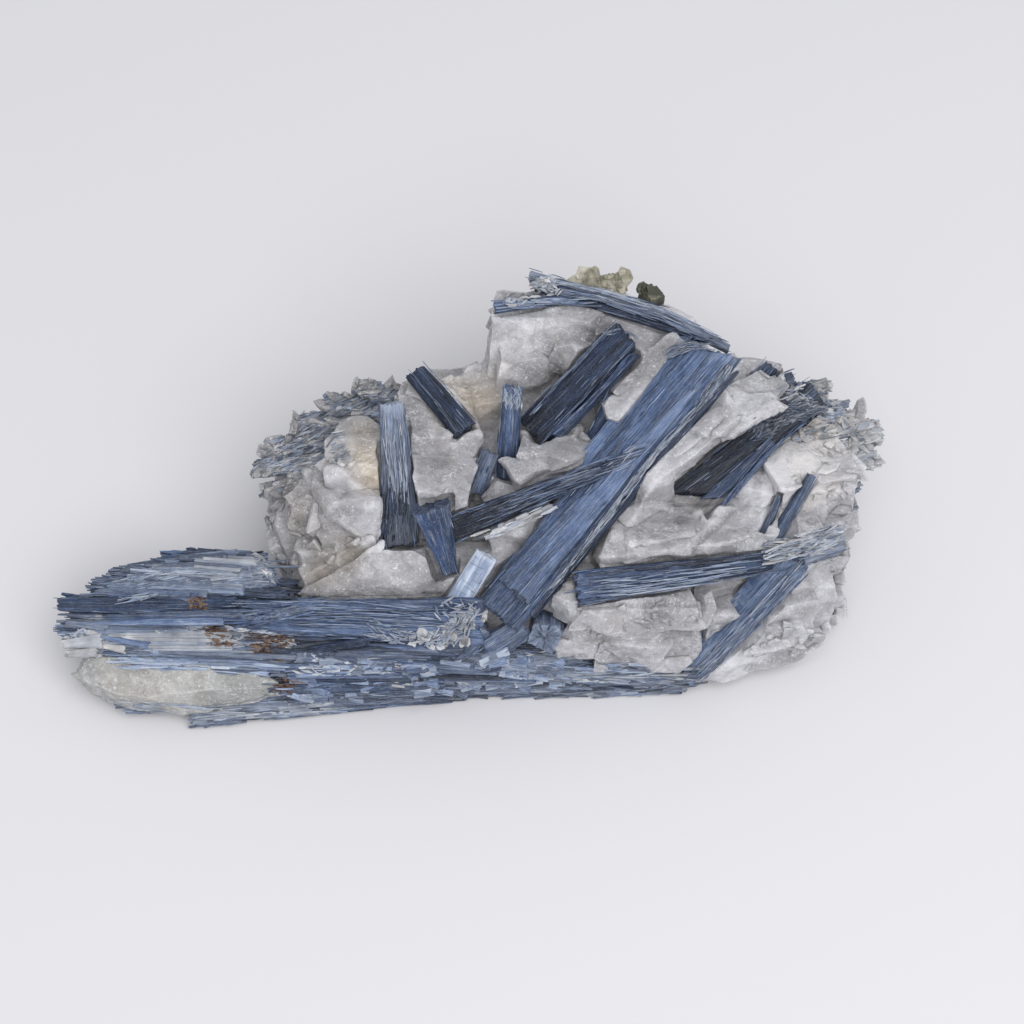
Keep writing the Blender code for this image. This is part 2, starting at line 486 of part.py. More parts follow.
def drop_crumbs(mesh):
    """Leaves only the largest of the bodies of a mesh, without the crumbs that its cuts break off."""
    form = bmesh.new()
    form.from_mesh(mesh)
    bodies = []
    left = set(form.verts)
    while left:
        body, edge_of_body = set(), [left.pop()]
        while edge_of_body:
            vert = edge_of_body.pop()
            body.add(vert)
            near = {e.other_vert(vert) for e in vert.link_edges} & left
            left -= near
            edge_of_body.extend(near)
        bodies.append(body)
    bodies.sort(key=lambda body: sum(f.calc_area() for f in {f for v in body for f in v.link_faces}))
    crumbs = [vert for body in bodies[:-1] for vert in body]
    bmesh.ops.delete(form, geom=crumbs, context="VERTS")
    form.to_mesh(mesh)
    form.free()


def sheaf_arms():
    """The laths of the sheaf's fan, from the back of its top to its front foot."""
    rng = random.Random("sheaf")
    arms = []
    for i in range(SHEAF_LATHS):
        share = i / (SHEAF_LATHS - 1)
        tip = along_line(SHEAF_TIPS, share) + Vector((rng.uniform(-1.5, 5.0), 0, rng.uniform(-0.6, 0.6)))
        root = along_line(SHEAF_ROOTS, share) + Vector((rng.uniform(-3, 3), 0, rng.uniform(-0.6, 0.6)))
        facing = along_line(SHEAF_FACING, share)
        width, thickness, taper = rng.uniform(2.2, 3.6), rng.uniform(1.8, 2.8), rng.uniform(0.4, 0.8)
        arms.append(Arm(tuple(root), tuple(tip), width, thickness, tuple(facing), 1, taper))
    return arms


def along_line(points, share):
    """The point at that share of the way along a line of points."""
    place = share * (len(points) - 1)
    first = min(int(place), len(points) - 2)
    return Vector(points[first]).lerp(Vector(points[first + 1]), place - first)


class Cluster:
    """The pieces made so far, and the space that each needs in its neighbours."""

    def __init__(self):
        self.pieces = bpy.data.collections.new("kyanite_blade_cluster")
        self.cutters = bpy.data.collections.new("cutters")
        for collection in (self.pieces, self.cutters):
            bpy.context.scene.collection.children.link(collection)
        self.arms = {}

    def crystal(self, name, arms):
        """One solid of all the laths of some crystals that grew together."""
        self.arms[name] = arms
        solids = []
        for i, arm in enumerate(arms):
            for j, corners in enumerate(laths_of(arm, f"{name}_{i}")):
                solids.append(hull_of(corners, f"{name}_{i}_{j}", self.cutters))
        return self.joined(name, solids)

    def joined(self, name, solids):
        """Solids joined in one, with the name and finish of a piece."""
        obj = boolean(solids[0], solids[1:], "UNION")
        obj.name = name
        self.cutters.objects.unlink(obj)
        self.pieces.objects.link(obj)
        obj.data.materials.clear()
        obj.data.materials.append(finish_of(SLOTS.get(name, "kyanite")))
        return obj

    def give_way(self, obj, names, bare=False):
        """Cuts a pocket in a piece for each crystal of those names, open over it where bare."""
        arms = [(f"{name}_{i}", arm) for name in names for i, arm in enumerate(self.arms[name])]
        pockets = [pocket_of(arm, name, self.cutters, arm.clear if bare else 0.0) for name, arm in arms]
        boolean(obj, pockets, "DIFFERENCE")


def build_quartz(cluster):
    """The lump: its core and chunks joined, and cut flat at the floor and at the seam."""
    parts = [hull_of(CORE_FOOT + CORE_SHOULDER, "core", cluster.cutters)]
    parts += [hull_of(points, name, cluster.cutters) for name, points in HAND_CUT.items()]
    parts += [chunk_of(chunk, name, cluster.cutters) for name, chunk in CHUNKS.items()]
    lump = cluster.joined("quartz_matrix", parts)
    beyond = [hull_of(upright(SEAM[i : i + 2], -FAR), f"seam_{i}", cluster.cutters) for i in (0, 1)]
    boolean(lump, beyond + [floor_block(cluster.cutters)], "DIFFERENCE")
    return lump


def upright(line, depth):
    """The corners of a block that stands on a line on the floor and reaches that far to the right."""
    start, end = Vector(line[0]), Vector(line[-1])
    right = Vector((end.y - start.y, start.x - end.x)).normalized() * -depth
    floor = [Vector(p) for p in line] + [start + right, end + right]
    return [(p.x, p.y, z) for p in floor for z in (-1.0, SEAM_TOP)]


def floor_block(collection):
    """Everything below the surface that the lump rests on."""
    form = bmesh.new()
    bmesh.ops.create_cube(form, size=FAR)
    bmesh.ops.translate(form, vec=(0, 0, -FAR / 2), verts=form.verts[:])
    return object_of("floor", form, collection)


def build_sheaf(cluster):
    """The fibrous sheaf at the left: a core that carries the fan of laths and the foot laths."""
    sheaf = cluster.crystal("kyanite_sheaf", sheaf_arms() + SHEAF_FOOT)
    core = hull_of(SHEAF_CORE, "sheaf_core", cluster.cutters)
    boolean(sheaf, [core], "UNION")
    behind = hull_of(upright(SEAM, FAR / 2), "seam", cluster.cutters)
    behind.location = (-CLEARANCE, -CLEARANCE, 0)
    lens = hull_of(TAIL_QUARTZ, "tail_quartz_pocket", cluster.cutters)
    lens.scale = (1 + LENS_GAP, 1 + LENS_GAP, 1 + LENS_GAP)
    middle = sum((Vector(p) for p in TAIL_QUARTZ), Vector()) / len(TAIL_QUARTZ)
    lens.location = -middle * LENS_GAP
    boolean(sheaf, [behind, lens, floor_block(cluster.cutters)], "DIFFERENCE")
    cluster.joined("tail_quartz", [hull_of(TAIL_QUARTZ, "tail_quartz", cluster.cutters)])
    return sheaf


def rest_on_floor(pieces):
    """Sets the middle of the cluster's box over the origin and its foot on Z 0, and scales it to metres."""
    corners = [obj.matrix_world @ Vector(c) for obj in pieces for c in obj.bound_box]
    low = Vector([min(c[i] for c in corners) for i in range(3)])
    high = Vector([max(c[i] for c in corners) for i in range(3)])
    shift = Vector((-(low.x + high.x) / 2, -(low.y + high.y) / 2, -low.z))
    for obj in pieces:
        obj.data.transform(Matrix.Scale(MM, 4) @ Matrix.Translation(shift))


def main():
    empty_scene()
    cluster = Cluster()
    for name, arms in {**CRYSTALS, **EDGES, "foot_layers": FOOT_LAYERS}.items():
        cluster.crystal(name, arms)
    sheaf = build_sheaf(cluster)
    lump = build_quartz(cluster)
    for name, earlier in GIVES_WAY.items():
        cluster.give_way(bpy.data.objects[name], earlier)
    cluster.give_way(sheaf, BESIDE_THE_SHEAF)
    cluster.give_way(lump, [name for name in cluster.arms if name != "kyanite_sheaf"], bare=True)
    boolean(bpy.data.objects["foot_layers"], [floor_block(cluster.cutters)], "DIFFERENCE")
    for obj in cluster.pieces.objects:
        drop_crumbs(obj.data)
    rest_on_floor(list(cluster.pieces.objects))


main()
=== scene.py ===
"""Looks of the kyanite blade cluster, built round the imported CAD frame.

Places are in millimetres in the sketch's own frame, as in the part's source; to_row() takes them
to the row frame in metres. Some pieces are placed by where they are seen from the main view, and
seen() finds the solids' surface there.
"""

import math
from collections import namedtuple

import bmesh
import bpy
import numpy as np
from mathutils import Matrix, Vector
from mathutils.bvhtree import BVHTree


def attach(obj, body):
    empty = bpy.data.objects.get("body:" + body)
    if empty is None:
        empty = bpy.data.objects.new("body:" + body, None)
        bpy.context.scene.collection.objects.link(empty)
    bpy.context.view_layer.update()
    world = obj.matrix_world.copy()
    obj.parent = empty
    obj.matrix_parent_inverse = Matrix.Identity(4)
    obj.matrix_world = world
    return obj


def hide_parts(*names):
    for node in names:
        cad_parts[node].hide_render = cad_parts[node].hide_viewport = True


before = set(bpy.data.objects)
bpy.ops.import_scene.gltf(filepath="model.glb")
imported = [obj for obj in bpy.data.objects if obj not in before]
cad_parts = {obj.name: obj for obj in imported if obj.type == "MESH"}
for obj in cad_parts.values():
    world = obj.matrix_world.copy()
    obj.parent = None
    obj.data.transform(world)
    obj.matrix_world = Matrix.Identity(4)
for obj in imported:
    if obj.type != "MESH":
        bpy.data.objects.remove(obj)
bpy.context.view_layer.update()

MM = 0.001
ROW_SHIFT = np.array((7.414, -0.214, 0.0))  # from the sketch's frame to the row frame, in mm


def to_row(points):
    return (np.asarray(points, float) + ROW_SHIFT) * MM


def to_sketch(points):
    return np.asarray(points, float) / MM - ROW_SHIFT


def unit(v):
    v = np.asarray(v, float)
    return v / np.maximum(np.linalg.norm(v, axis=-1, keepdims=True), 1e-9)


# ================================================================ places by where they are seen
AIM = np.array((0.0, 0.0, 18.0))
RISE = math.radians(60)  # the view's height above level
AWAY = 420.0  # from the eye to AIM
LENS, SENSOR = 80.0, 36.0  # of the camera, in mm
PICTURE = 1024  # the photograph's width and height, in its pixels
CENTRE = PICTURE / 2
FOCUS = LENS / SENSOR * PICTURE
RIGHT = np.array((1.0, 0.0, 0.0))
AHEAD = np.array((0.0, math.cos(RISE), -math.sin(RISE)))
ABOVE = np.array((0.0, math.sin(RISE), math.cos(RISE)))
EYE = AIM - AHEAD * AWAY
TO_EYE = unit(EYE - AIM)


def cad_points(name):
    """The vertices (mm, sketch frame) and triangles of a CAD node."""
    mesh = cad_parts[name].data
    mesh.calc_loop_triangles()
    points = np.array([v.co for v in mesh.vertices])
    return to_sketch(points), np.array([t.vertices for t in mesh.loop_triangles])


def surface_tree(names):
    """The surface of those CAD nodes, to measure from."""
    points, faces, count = [], [], 0
    for name in names:
        p, f = cad_points(name)
        points.append(p)
        faces.append(f + count)
        count += len(p)
    return BVHTree.FromPolygons(np.concatenate(points).tolist(), np.concatenate(faces).tolist())


STONES = ("quartz_matrix", "tail_quartz")
WHOLE = surface_tree(list(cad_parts))
CRYSTALS_ONLY = surface_tree([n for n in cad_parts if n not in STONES])
# a triangle far above everything, for pieces that have nothing to keep clear of
AFAR = BVHTree.FromPolygons([(0, 0, 900), (1, 0, 900), (0, 1, 900)], [(0, 1, 2)])


def seen(px, py, level=12.0):
    """The point of the solids at that place of the view, or past them the point at that height."""
    d = unit(AHEAD * FOCUS + RIGHT * (px - CENTRE) - ABOVE * (py - CENTRE))
    hit = WHOLE.ray_cast(Vector(EYE), Vector(d))[0]
    return np.array(hit) if hit is not None else EYE + d * (level - EYE[2]) / d[2]


def in_view(points):
    """Where the view shows points, in the photograph's pixels."""
    off = np.asarray(points, float) - EYE
    deep = off @ AHEAD
    return np.stack([CENTRE + FOCUS * off[:, 0] / deep, CENTRE - FOCUS * (off @ ABOVE) / deep], 1)


def within(outline, spots):
    """How far inside an outline each spot of the view is, in its pixels. Outside is negative."""
    a = np.array(outline, float)
    b = np.roll(a, -1, 0)
    d = b - a
    off = spots[:, None] - a[None]
    share = ((off * d).sum(2) / (d * d).sum(1)).clip(0, 1)
    gap = np.linalg.norm(off - d * share[..., None], axis=2).min(1)
    crosses = (a[None, :, 1] > spots[:, None, 1]) != (b[None, :, 1] > spots[:, None, 1])
    rise = np.where(d[:, 1] == 0, 1e-9, d[:, 1])
    level = a[None, :, 0] + (spots[:, None, 1] - a[None, :, 1]) / rise * d[None, :, 0]
    inside = (crosses & (spots[:, None, 0] < level)).sum(1) % 2 == 1
    return np.where(inside, gap, -gap)


def how_far(tree, points, most=6.0):
    """How far each point is from a surface, in mm."""
    return np.array([tree.find_nearest(p, most)[3] or most for p in np.asarray(points).tolist()])


# ================================================================ noise and broken stone
HASH_PRIMES = [np.uint64(prime) for prime in (73856093, 19349663, 83492791)]
HASH_SALT, HASH_SHIFT = 2654435761, 4096  # the shift makes every cell's number positive


def hashed(cells, salt, count=1):
    """Random shares from 0 to 1 for each cell of a grid, always the same for a cell."""
    c = (np.asarray(cells, np.int64) + HASH_SHIFT).astype(np.uint64)
    h = c[:, 0] * HASH_PRIMES[0] ^ c[:, 1] * HASH_PRIMES[1] ^ c[:, 2] * HASH_PRIMES[2]
    h = h ^ np.uint64(salt * HASH_SALT % 2**63)
    out = np.empty((len(c), count))
    for i in range(count):
        h = (h ^ (h >> np.uint64(31))) * np.uint64(0x9E3779B97F4A7C15)
        h = (h ^ (h >> np.uint64(29))) * np.uint64(0xBF58476D1CE4E5B9)
        out[:, i] = (h >> np.uint64(40)).astype(float) / 2**24
    return out


def facets(points, size, salt, stretch):
    """Height (-0.5 to 0.5) of a broken face at points: flat facets of about that size that meet in edges."""
    turn = np.linalg.qr(np.random.default_rng(salt).normal(size=(3, 3)))[0]
    q = (points @ turn) * stretch / size
    q = q + 0.16 * np.stack([waves(points, size * 2.4, salt + i) for i in (1, 2, 3)], 1)
    cell = np.floor(q).astype(np.int64)
    part = q - cell
    order = np.argsort(-part, axis=1)
    share = np.take_along_axis(part, order, 1)
    share = np.concatenate([np.ones((len(q), 1)), share, np.zeros((len(q), 1))], 1)
    height = np.zeros(len(q))
    for i in range(4):
        height += (share[:, i] - share[:, i + 1]) * (hashed(cell, salt)[:, 0] - 0.5)
        if i < 3:
            cell[np.arange(len(q)), order[:, i]] += 1
    return height


def waves(points, size, salt, octaves=2):
    """Smooth noise at points, about -1 to 1."""
    rng = np.random.default_rng(salt)
    total = np.zeros(len(points))
    for octave in range(octaves):
        for _ in range(5):
            k = unit(rng.normal(size=3)) * 2 * math.pi / size * 2**octave * rng.uniform(0.6, 1.4)
            total += np.sin(points @ k + rng.uniform(0, 2 * math.pi)) / 2**octave
    return total / 3.2


def strands(p, u, wide, long, salt):
    """Random levels of a surface made of laths of that usual width (over p) and length (along u)."""
    p, u = np.broadcast_arrays(p, u)
    shape = p.shape
    p, u = p.ravel(), u.ravel()
    zero = np.zeros(len(p), int)
    drift = 0.42 * np.sin(p / wide * 1.9 + salt) + 0.2 * np.sin(u / long * 2.1 + salt)
    i = np.floor(p / wide + drift).astype(int)
    r = hashed(np.stack([i, zero, zero], 1), salt, 3)
    j = np.floor(u / (long * (0.5 + r[:, 0])) + r[:, 1] * 7).astype(int)
    level = hashed(np.stack([i, j, zero], 1), salt + 1, 1)[:, 0]
    return level.reshape(shape), i.reshape(shape), r[:, 2].reshape(shape)


def patches(points, spots, base=0.0):
    """A value at points: a base, moved by soft spots of (place, reach, amount)."""
    value = np.full(len(points), base, float)
    for place, reach, amount in spots:
        d = (points - np.asarray(place)) / np.asarray(reach)
        value += np.exp(-(d * d).sum(1)) * amount
    return value


def soft_spots(rows):
    """Spots for patches(): view place in pixels, reach along X and across it in mm, and the amount."""
    return [(seen(px, py), (along, across, across), amount) for px, py, along, across, amount in rows]


RUST_STAINS = [  # view place, reach and how rusty
    (197, 602, 1.3, 1.8), (202, 617, 1.2, 1.0), (210, 628, 1.5, 1.1), (218, 638, 1.6, 1.0),
    (228, 644, 1.2, 0.8), (260, 637, 2.0, 1.25), (266, 649, 1.3, 1.1), (284, 640, 1.7, 0.9),
    (278, 659, 1.1, 1.2), (283, 684, 1.6, 1.7), (300, 677, 0.9, 1.3), (314, 700, 0.8, 0.6),
]
RUST = soft_spots((px, py, r * 1.15, r, amount + 0.15) for px, py, r, amount in RUST_STAINS)


def rust_at(points):
    """How rusty the kyanite is at points, in speckles."""
    return (patches(points, RUST) * (0.75 + 0.9 * waves(points, 1.1, 3))).clip(0, 1)


# ================================================================ meshes
def move(mesh, points):
    """Puts a mesh's vertices at points, none of them under the floor."""
    points[:, 2] = np.maximum(points[:, 2], 0.0)
    mesh.vertices.foreach_set("co", to_row(points).ravel().astype(np.float32))
    mesh.update()


def made(name, points, faces):
    """A new mesh of points (mm, sketch frame) and faces, none of it under the floor."""
    points[:, 2] = np.maximum(points[:, 2], 0.0)
    mesh = bpy.data.meshes.new(name)
    mesh.from_pydata(to_row(points).tolist(), [], faces)
    return mesh


def placed(name, mesh, material, slot, *nodes):
    """A piece of the object, with its finish, that stands for those CAD nodes."""
    mesh.update()
    obj = bpy.data.objects.new(name, mesh)
    bpy.context.scene.collection.objects.link(obj)
    mesh.materials.clear()
    mesh.materials.append(material)
    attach(obj, "root")
    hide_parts(*nodes)
    return obj


def give(mesh, **values):
    """Writes numbers or vectors kept at each vertex, for the materials to read."""
    for label, value in values.items():
        value = np.asarray(value, np.float32)
        kind, field = ("FLOAT", "value") if value.ndim == 1 else ("FLOAT_VECTOR", "vector")
        mesh.attributes.new(label, kind, "POINT").data.foreach_set(field, value.ravel())


# tone may be (at root, at tip). fringe is how densely loose fibres lie along the left and right edges.
# ridge is where the broad side is highest, from -0.5 to 0.5 over the width, and how far it falls.
# cut is how far (mm) the left edge reaches past the right one at the root and at the tip.
Arm = namedtuple("Arm", "root tip width thickness facing taper tone pale fringe bend ridge cut", defaults=(
    1.0, 0.5, 0.2, (0.5, 0.5), 0.0, (0.1, 0.5), (0.0, 0.0)))


def beside(arm, u, v, w, width, thickness, **more):
    """Another crystal in an arm's own frame: u, v are (root, tip) along and across it, w is out of it."""
    along, across, out = axes_of(arm)
    root, tip = (np.array(arm.root) + along * u[i] + across * v[i] + out * w for i in (0, 1))
    return arm._replace(root=root, tip=tip, width=width, thickness=thickness, fringe=(0.1, 0.1), **more)


def axes_of(arm):
    """The ways along an arm, across it, and out of its broad side."""
    along = unit(np.subtract(arm.tip, arm.root))
    facing = np.array(arm.facing, float)
    out = unit(facing - along * facing.dot(along))
    return along, np.cross(out, along), out


def length_of(arm):
    return np.linalg.norm(np.subtract(arm.tip, arm.root))


def lath_of(arm):
    """The usual width of the coarsest laths that a blade is made of."""
    return min(1.5, arm.width / 4)


def on_arm(arm, u, v, h):
    """Where the points lie that are u along an arm, v across it and h out of it."""
    along, across, out = axes_of(arm)
    return np.array(arm.root, float) + along * u[..., None] + across * v[..., None] + out * h[..., None]


def bow(arm, u):
    """How far an arm's bend lifts it there."""
    share = u / length_of(arm)
    return arm.bend * 4 * share * (1 - share)


def both_ends(middle, way, span):
    """Where laths begin and end that have those middles, directions and lengths."""
    half = way * (span / 2)[:, None]
    return middle - half, middle + half


def pair(value):
    """One value for the root and one for the tip."""
    return value if isinstance(value, tuple) else (value, value)


# sections of a blade and of a lath, as shares of the width and the thickness
BLADE_SECTION = np.array([
    (0, -0.5), (0.44, -0.5), (0.5, -0.12), (0.475, 0.36), (0.41, 0.5), (-0.41, 0.5), (-0.475, 0.36),
    (-0.5, -0.12), (-0.44, -0.5), (0, -0.5),
])
LATH_SECTION = ((-0.5, -0.5), (-0.36, 0.45), (0.36, 0.45), (0.5, -0.5))
BREAK_RINGS = (0.72, 0.42, 0.15)  # rings across a blade's broken end, as shares of its outline
GRAIN_SHIFT = 60.0  # how far (mm) the grain of each crystal may be shifted, so that no two look the same
LATH_STEPS = 2  # pieces that a lath has along it
LATH_UNEVEN, LATH_SLANT = 0.14, 0.9  # how much a lath's width and the slant of its ends vary
ANY_PHASE = 6.28  # of a lath's waver
EDGE_SHARE = 0.75  # of a blade's loose fibres, the ones along its edges
FIBRE_LENGTH, FIBRE_WIDTH, FIBRE_THICKNESS = (1.2, 5.5), (0.06, 0.2), (0.1, 0.2)  # from, to, in mm
FIBRE_TONE, FIBRE_PALENESS = (0.3, 0.8), (0.0, 0.8)


def section(width, thick, step):
    """Points round a blade's section: places, outward ways, and how far round each is."""
    corners = BLADE_SECTION * (width, thick)
    d = np.diff(corners, axis=0)
    lengths = np.linalg.norm(d, axis=1)
    at = np.concatenate([[0], np.cumsum(lengths)])
    round_ = np.linspace(0, at[-1], max(int(at[-1] / step), 12), endpoint=False)
    place = np.stack([np.interp(round_, at, corners[:, i]) for i in (0, 1)], 1)
    side = np.searchsorted(at, round_, side="right") - 1
    way = unit(np.stack([d[:, 1], -d[:, 0]], 1))[side]
    way = unit(np.roll(way, 1, 0) + 2 * way + np.roll(way, -1, 0))
    return place, way, round_


def ragged_lines(arm, place, p, stride, jags, salt):
    """How far along a blade its points lie, on lines from a ragged root to a ragged tip."""
    length, wide = length_of(arm), lath_of(arm)
    r1 = strands(p, 0 * p, wide, 999, salt)[2]
    r2 = strands(p, 0 * p, wide * 0.4, 999, salt + 3)[2]
    slope = np.array(arm.cut) / arm.width
    start = jags[0] * (0.6 * r1 + 0.4 * r2) - slope[0] * place[:, 0]
    stop = length - jags[1] * (0.65 * r2 + 0.35 * (1 - r1)) + slope[1] * place[:, 0]
    share = np.linspace(0, 1, max(int(length / stride), 6) + 1)
    return start[:, None] + (stop - start)[:, None] * share[None]


def blade_form(arm, place, way, u, depth, salt):
    """How far across and out of a blade its points lie: tapered, uneven, ridged and cut in by depth."""
    scale = 1 + (arm.taper - 1) * u / length_of(arm)
    sway = 1 + 0.03 * np.sin(u / 5.5 + salt) + 0.02 * np.sin(u / 2.1 + salt * 2)
    edge = strands(u * 0 + np.sign(place[:, :1]) * 50, u, 1, 7, salt + 20)[0]
    v = place[:, :1] * scale * sway * (1 - 0.05 * edge) - way[:, :1] * depth
    h = place[:, 1:] * (0.5 + 0.5 * scale) - way[:, 1:] * depth
    top = (place[:, 1:] > 0.1 * arm.thickness) * arm.thickness
    peak = arm.ridge[0] + 0.06 * np.sin(u / 9.0 + salt)
    return v, h - top * arm.ridge[1] * np.abs(place[:, :1] / arm.width - peak) * 0.55


def blade_look(arm, place, u, p, mid, fine, frost, salt):
    """Tone and paleness of a blade's points: each lath has its tone, and ends, rims and ribs are pale."""
    length, wide = length_of(arm), lath_of(arm)
    t1 = strands(p, u, wide, 30, salt + 11)[0]
    t2 = strands(p, u, wide * 0.4, 14, salt + 3)[0]
    low, high = pair(arm.tone)
    tone = low + (high - low) * u / length + 0.3 * (0.45 * t1 + 0.3 * t2 + 0.25 * fine - 0.5)
    ends = frost[0] * np.exp(-u / 1.8) + frost[1] * np.exp(-(length - u) / 2.2)
    rim = np.exp(-(((np.abs(place[:, :1]) / arm.width - 0.44) / 0.035) ** 2))
    rim = rim * (place[:, 1:] > 0.2 * arm.thickness)
    pale = arm.pale + ends + 0.6 * np.maximum(fine - 0.8, 0) * (0.4 + mid)
    return tone, pale + rim * np.maximum(mid - 0.25, 0) * 0.8


class Bundle:
    """Crystals and laths gathered into one mesh, with their grain, tone and paleness."""

    def __init__(self, seed):
        self.rng = np.random.default_rng(seed)
        self.points, self.faces, self.grain, self.tone, self.pale = [], [], [], [], []
        self.count = 0

    def _keep(self, points, grain, tone, pale):
        self.points.append(points.reshape(-1, 3))
        self.grain.append(grain.reshape(-1, 3))
        self.tone.append(np.asarray(tone, float).ravel())
        self.pale.append(np.asarray(pale, float).ravel())
        self.count += len(self.points[-1])

    def laths(self, a, b, out, width, thick, tone, pale, ends, bend=0.0):
        """Thin laths from points a to b. out is the way that each broad side looks."""
        a, b = np.atleast_2d(a).astype(float), np.atleast_2d(b).astype(float)
        n, rng, steps = len(a), self.rng, LATH_STEPS
        out = np.broadcast_to(np.asarray(out, float), (n, 3))
        width, thick, tone, pale, bend, end0, end1 = (
            np.broadcast_to(np.asarray(v, float), (n,)) for v in (width, thick, tone, pale, bend, *ends)
        )
        along = unit(b - a)
        out = unit(out - along * (out * along).sum(1)[:, None])
        across = np.cross(out, along)
        share = np.linspace(0, 1, steps + 1)[None, :]
        phase = rng.uniform(0, ANY_PHASE, (n, 2))
        wide = 1 + rng.uniform(-LATH_UNEVEN, LATH_UNEVEN, (n, steps + 1))
        wide[:, 0] *= end0
        wide[:, -1] *= end1
        drift = 0.10 * np.sin(share * 5 + phase[:, :1]) + 0.05 * np.sin(share * 13 + phase[:, 1:])
        centre = a[:, None] + (b - a)[:, None] * share[..., None]
        centre = centre + across[:, None] * (drift * width[:, None])[..., None]
        centre = centre + out[:, None] * (bend[:, None] * 4 * share * (1 - share))[..., None]
        slant = rng.uniform(-LATH_SLANT, LATH_SLANT, (n, 2))
        rings = []
        for v, w in LATH_SECTION:
            side = v * width[:, None] * wide
            p = centre + across[:, None] * side[..., None]
            p = p + out[:, None] * (w * thick[:, None] * (0.5 + 0.5 * np.minimum(wide, 1)))[..., None]
            p[:, 0] += along * (slant[:, :1] * side[:, :1])
            p[:, -1] += along * (slant[:, 1:] * side[:, -1:])
            rings.append(p)
        rings = np.stack(rings, axis=2)
        k = rings.shape[2]
        index = np.arange(n * (steps + 1) * k).reshape(n, steps + 1, k) + self.count
        nxt = np.roll(index, -1, axis=2)
        side = np.stack([index[:, :-1], index[:, 1:], nxt[:, 1:], nxt[:, :-1]], axis=-1).reshape(-1, 4)
        self.faces += np.concatenate([side, index[:, 0], index[:, -1, ::-1]]).tolist()
        local = np.einsum("nskj,nij->nski", rings - a[:, None, None], np.stack([along, across, out], 1))
        shape = rings.shape[:3]
        grain = local + rng.uniform(0, GRAIN_SHIFT, (n, 1, 1, 3))
        tone, pale = (np.broadcast_to(value[:, None, None], shape) for value in (tone, pale))
        self._keep(rings, grain, tone, pale)

    def crystal(self, arm, step=0.22, stride=0.8, relief=1.0, jag=1.3, frost=(0.1, 0.25)):
        """A blade with lengthwise steps and grooves all round, and broken fibres at both ends."""
        salt = int(self.rng.integers(1, 9999))
        lean = self.rng.uniform(-0.02, 0.02)
        offset = self.rng.uniform(0, GRAIN_SHIFT, 3)
        place, way, p = section(arm.width, arm.thickness, step)
        u = ragged_lines(arm, place, p, stride, pair(jag), salt)
        p = p[:, None] + lean * u
        wide = lath_of(arm)
        broad = strands(p, u, wide, 16, salt)[0]
        mid = strands(p, u, wide * 0.4, 9, salt + 3)[0]
        fine = strands(p, u, wide * 0.17, 5, salt + 6)[0]
        depth = relief * (min(0.2, arm.thickness * 0.07) * broad + 0.09 * mid + 0.06 * fine)
        v, h = blade_form(arm, place, way, u, depth, salt)
        tone, pale = blade_look(arm, place, u, p, mid, fine, frost, salt)
        index = np.arange(u.size).reshape(u.shape) + self.count
        nxt = np.roll(index, -1, axis=0)
        quads = np.stack([index[:, :-1], nxt[:, :-1], nxt[:, 1:], index[:, 1:]], -1)
        self.faces += quads.reshape(-1, 4).tolist()
        self._keep(on_arm(arm, u, v, h + bow(arm, u)), np.stack([u, p, h * 0], -1) + offset, tone, pale)
        for tip, line in enumerate((0, u.shape[1] - 1)):
            rim = index[:, line], u[:, line], v[:, line], h[:, line]
            self._close(arm, rim, line, tip, pair(jag)[tip], frost[tip], salt, offset)

    def _close(self, arm, rim, line, tip, jag, frost, salt, offset):
        """Closes a blade's root (tip 0) or tip (tip 1) with rings of broken fibres round a last face."""
        ring, u, v, h = rim
        slope = (-arm.cut[0], arm.cut[1])[tip] / arm.width
        level = (u - slope * v).mean()
        for shrink in BREAK_RINGS:
            rv, rh = v * shrink, h * shrink
            cell = np.stack([np.floor(rv / 0.55), np.floor(rh / 0.4), rv * 0 + line], 1)
            jut = (hashed(cell, salt + 9)[:, 0] - 0.5) * min(jag, 2) * 0.9
            ru = level + slope * rv + jut
            inner = np.arange(len(ring)) + self.count
            fresh, old = np.roll(inner, -1), np.roll(ring, -1)
            band = [ring, old, fresh, inner] if tip else [ring, inner, fresh, old]
            self.faces += np.stack(band, 1).tolist()
            tone = pair(arm.tone)[tip] - 0.1 + 0.3 * (hashed(cell, salt + 8)[:, 0] - 0.5)
            grain = np.stack([ru, rv * 3, rh * 3], -1) + offset
            pale = np.full(len(ring), arm.pale + frost)
            self._keep(on_arm(arm, ru, rv, rh + bow(arm, ru)), grain, tone, pale)
            ring = inner
        self.faces.append((ring if tip else ring[::-1]).tolist())

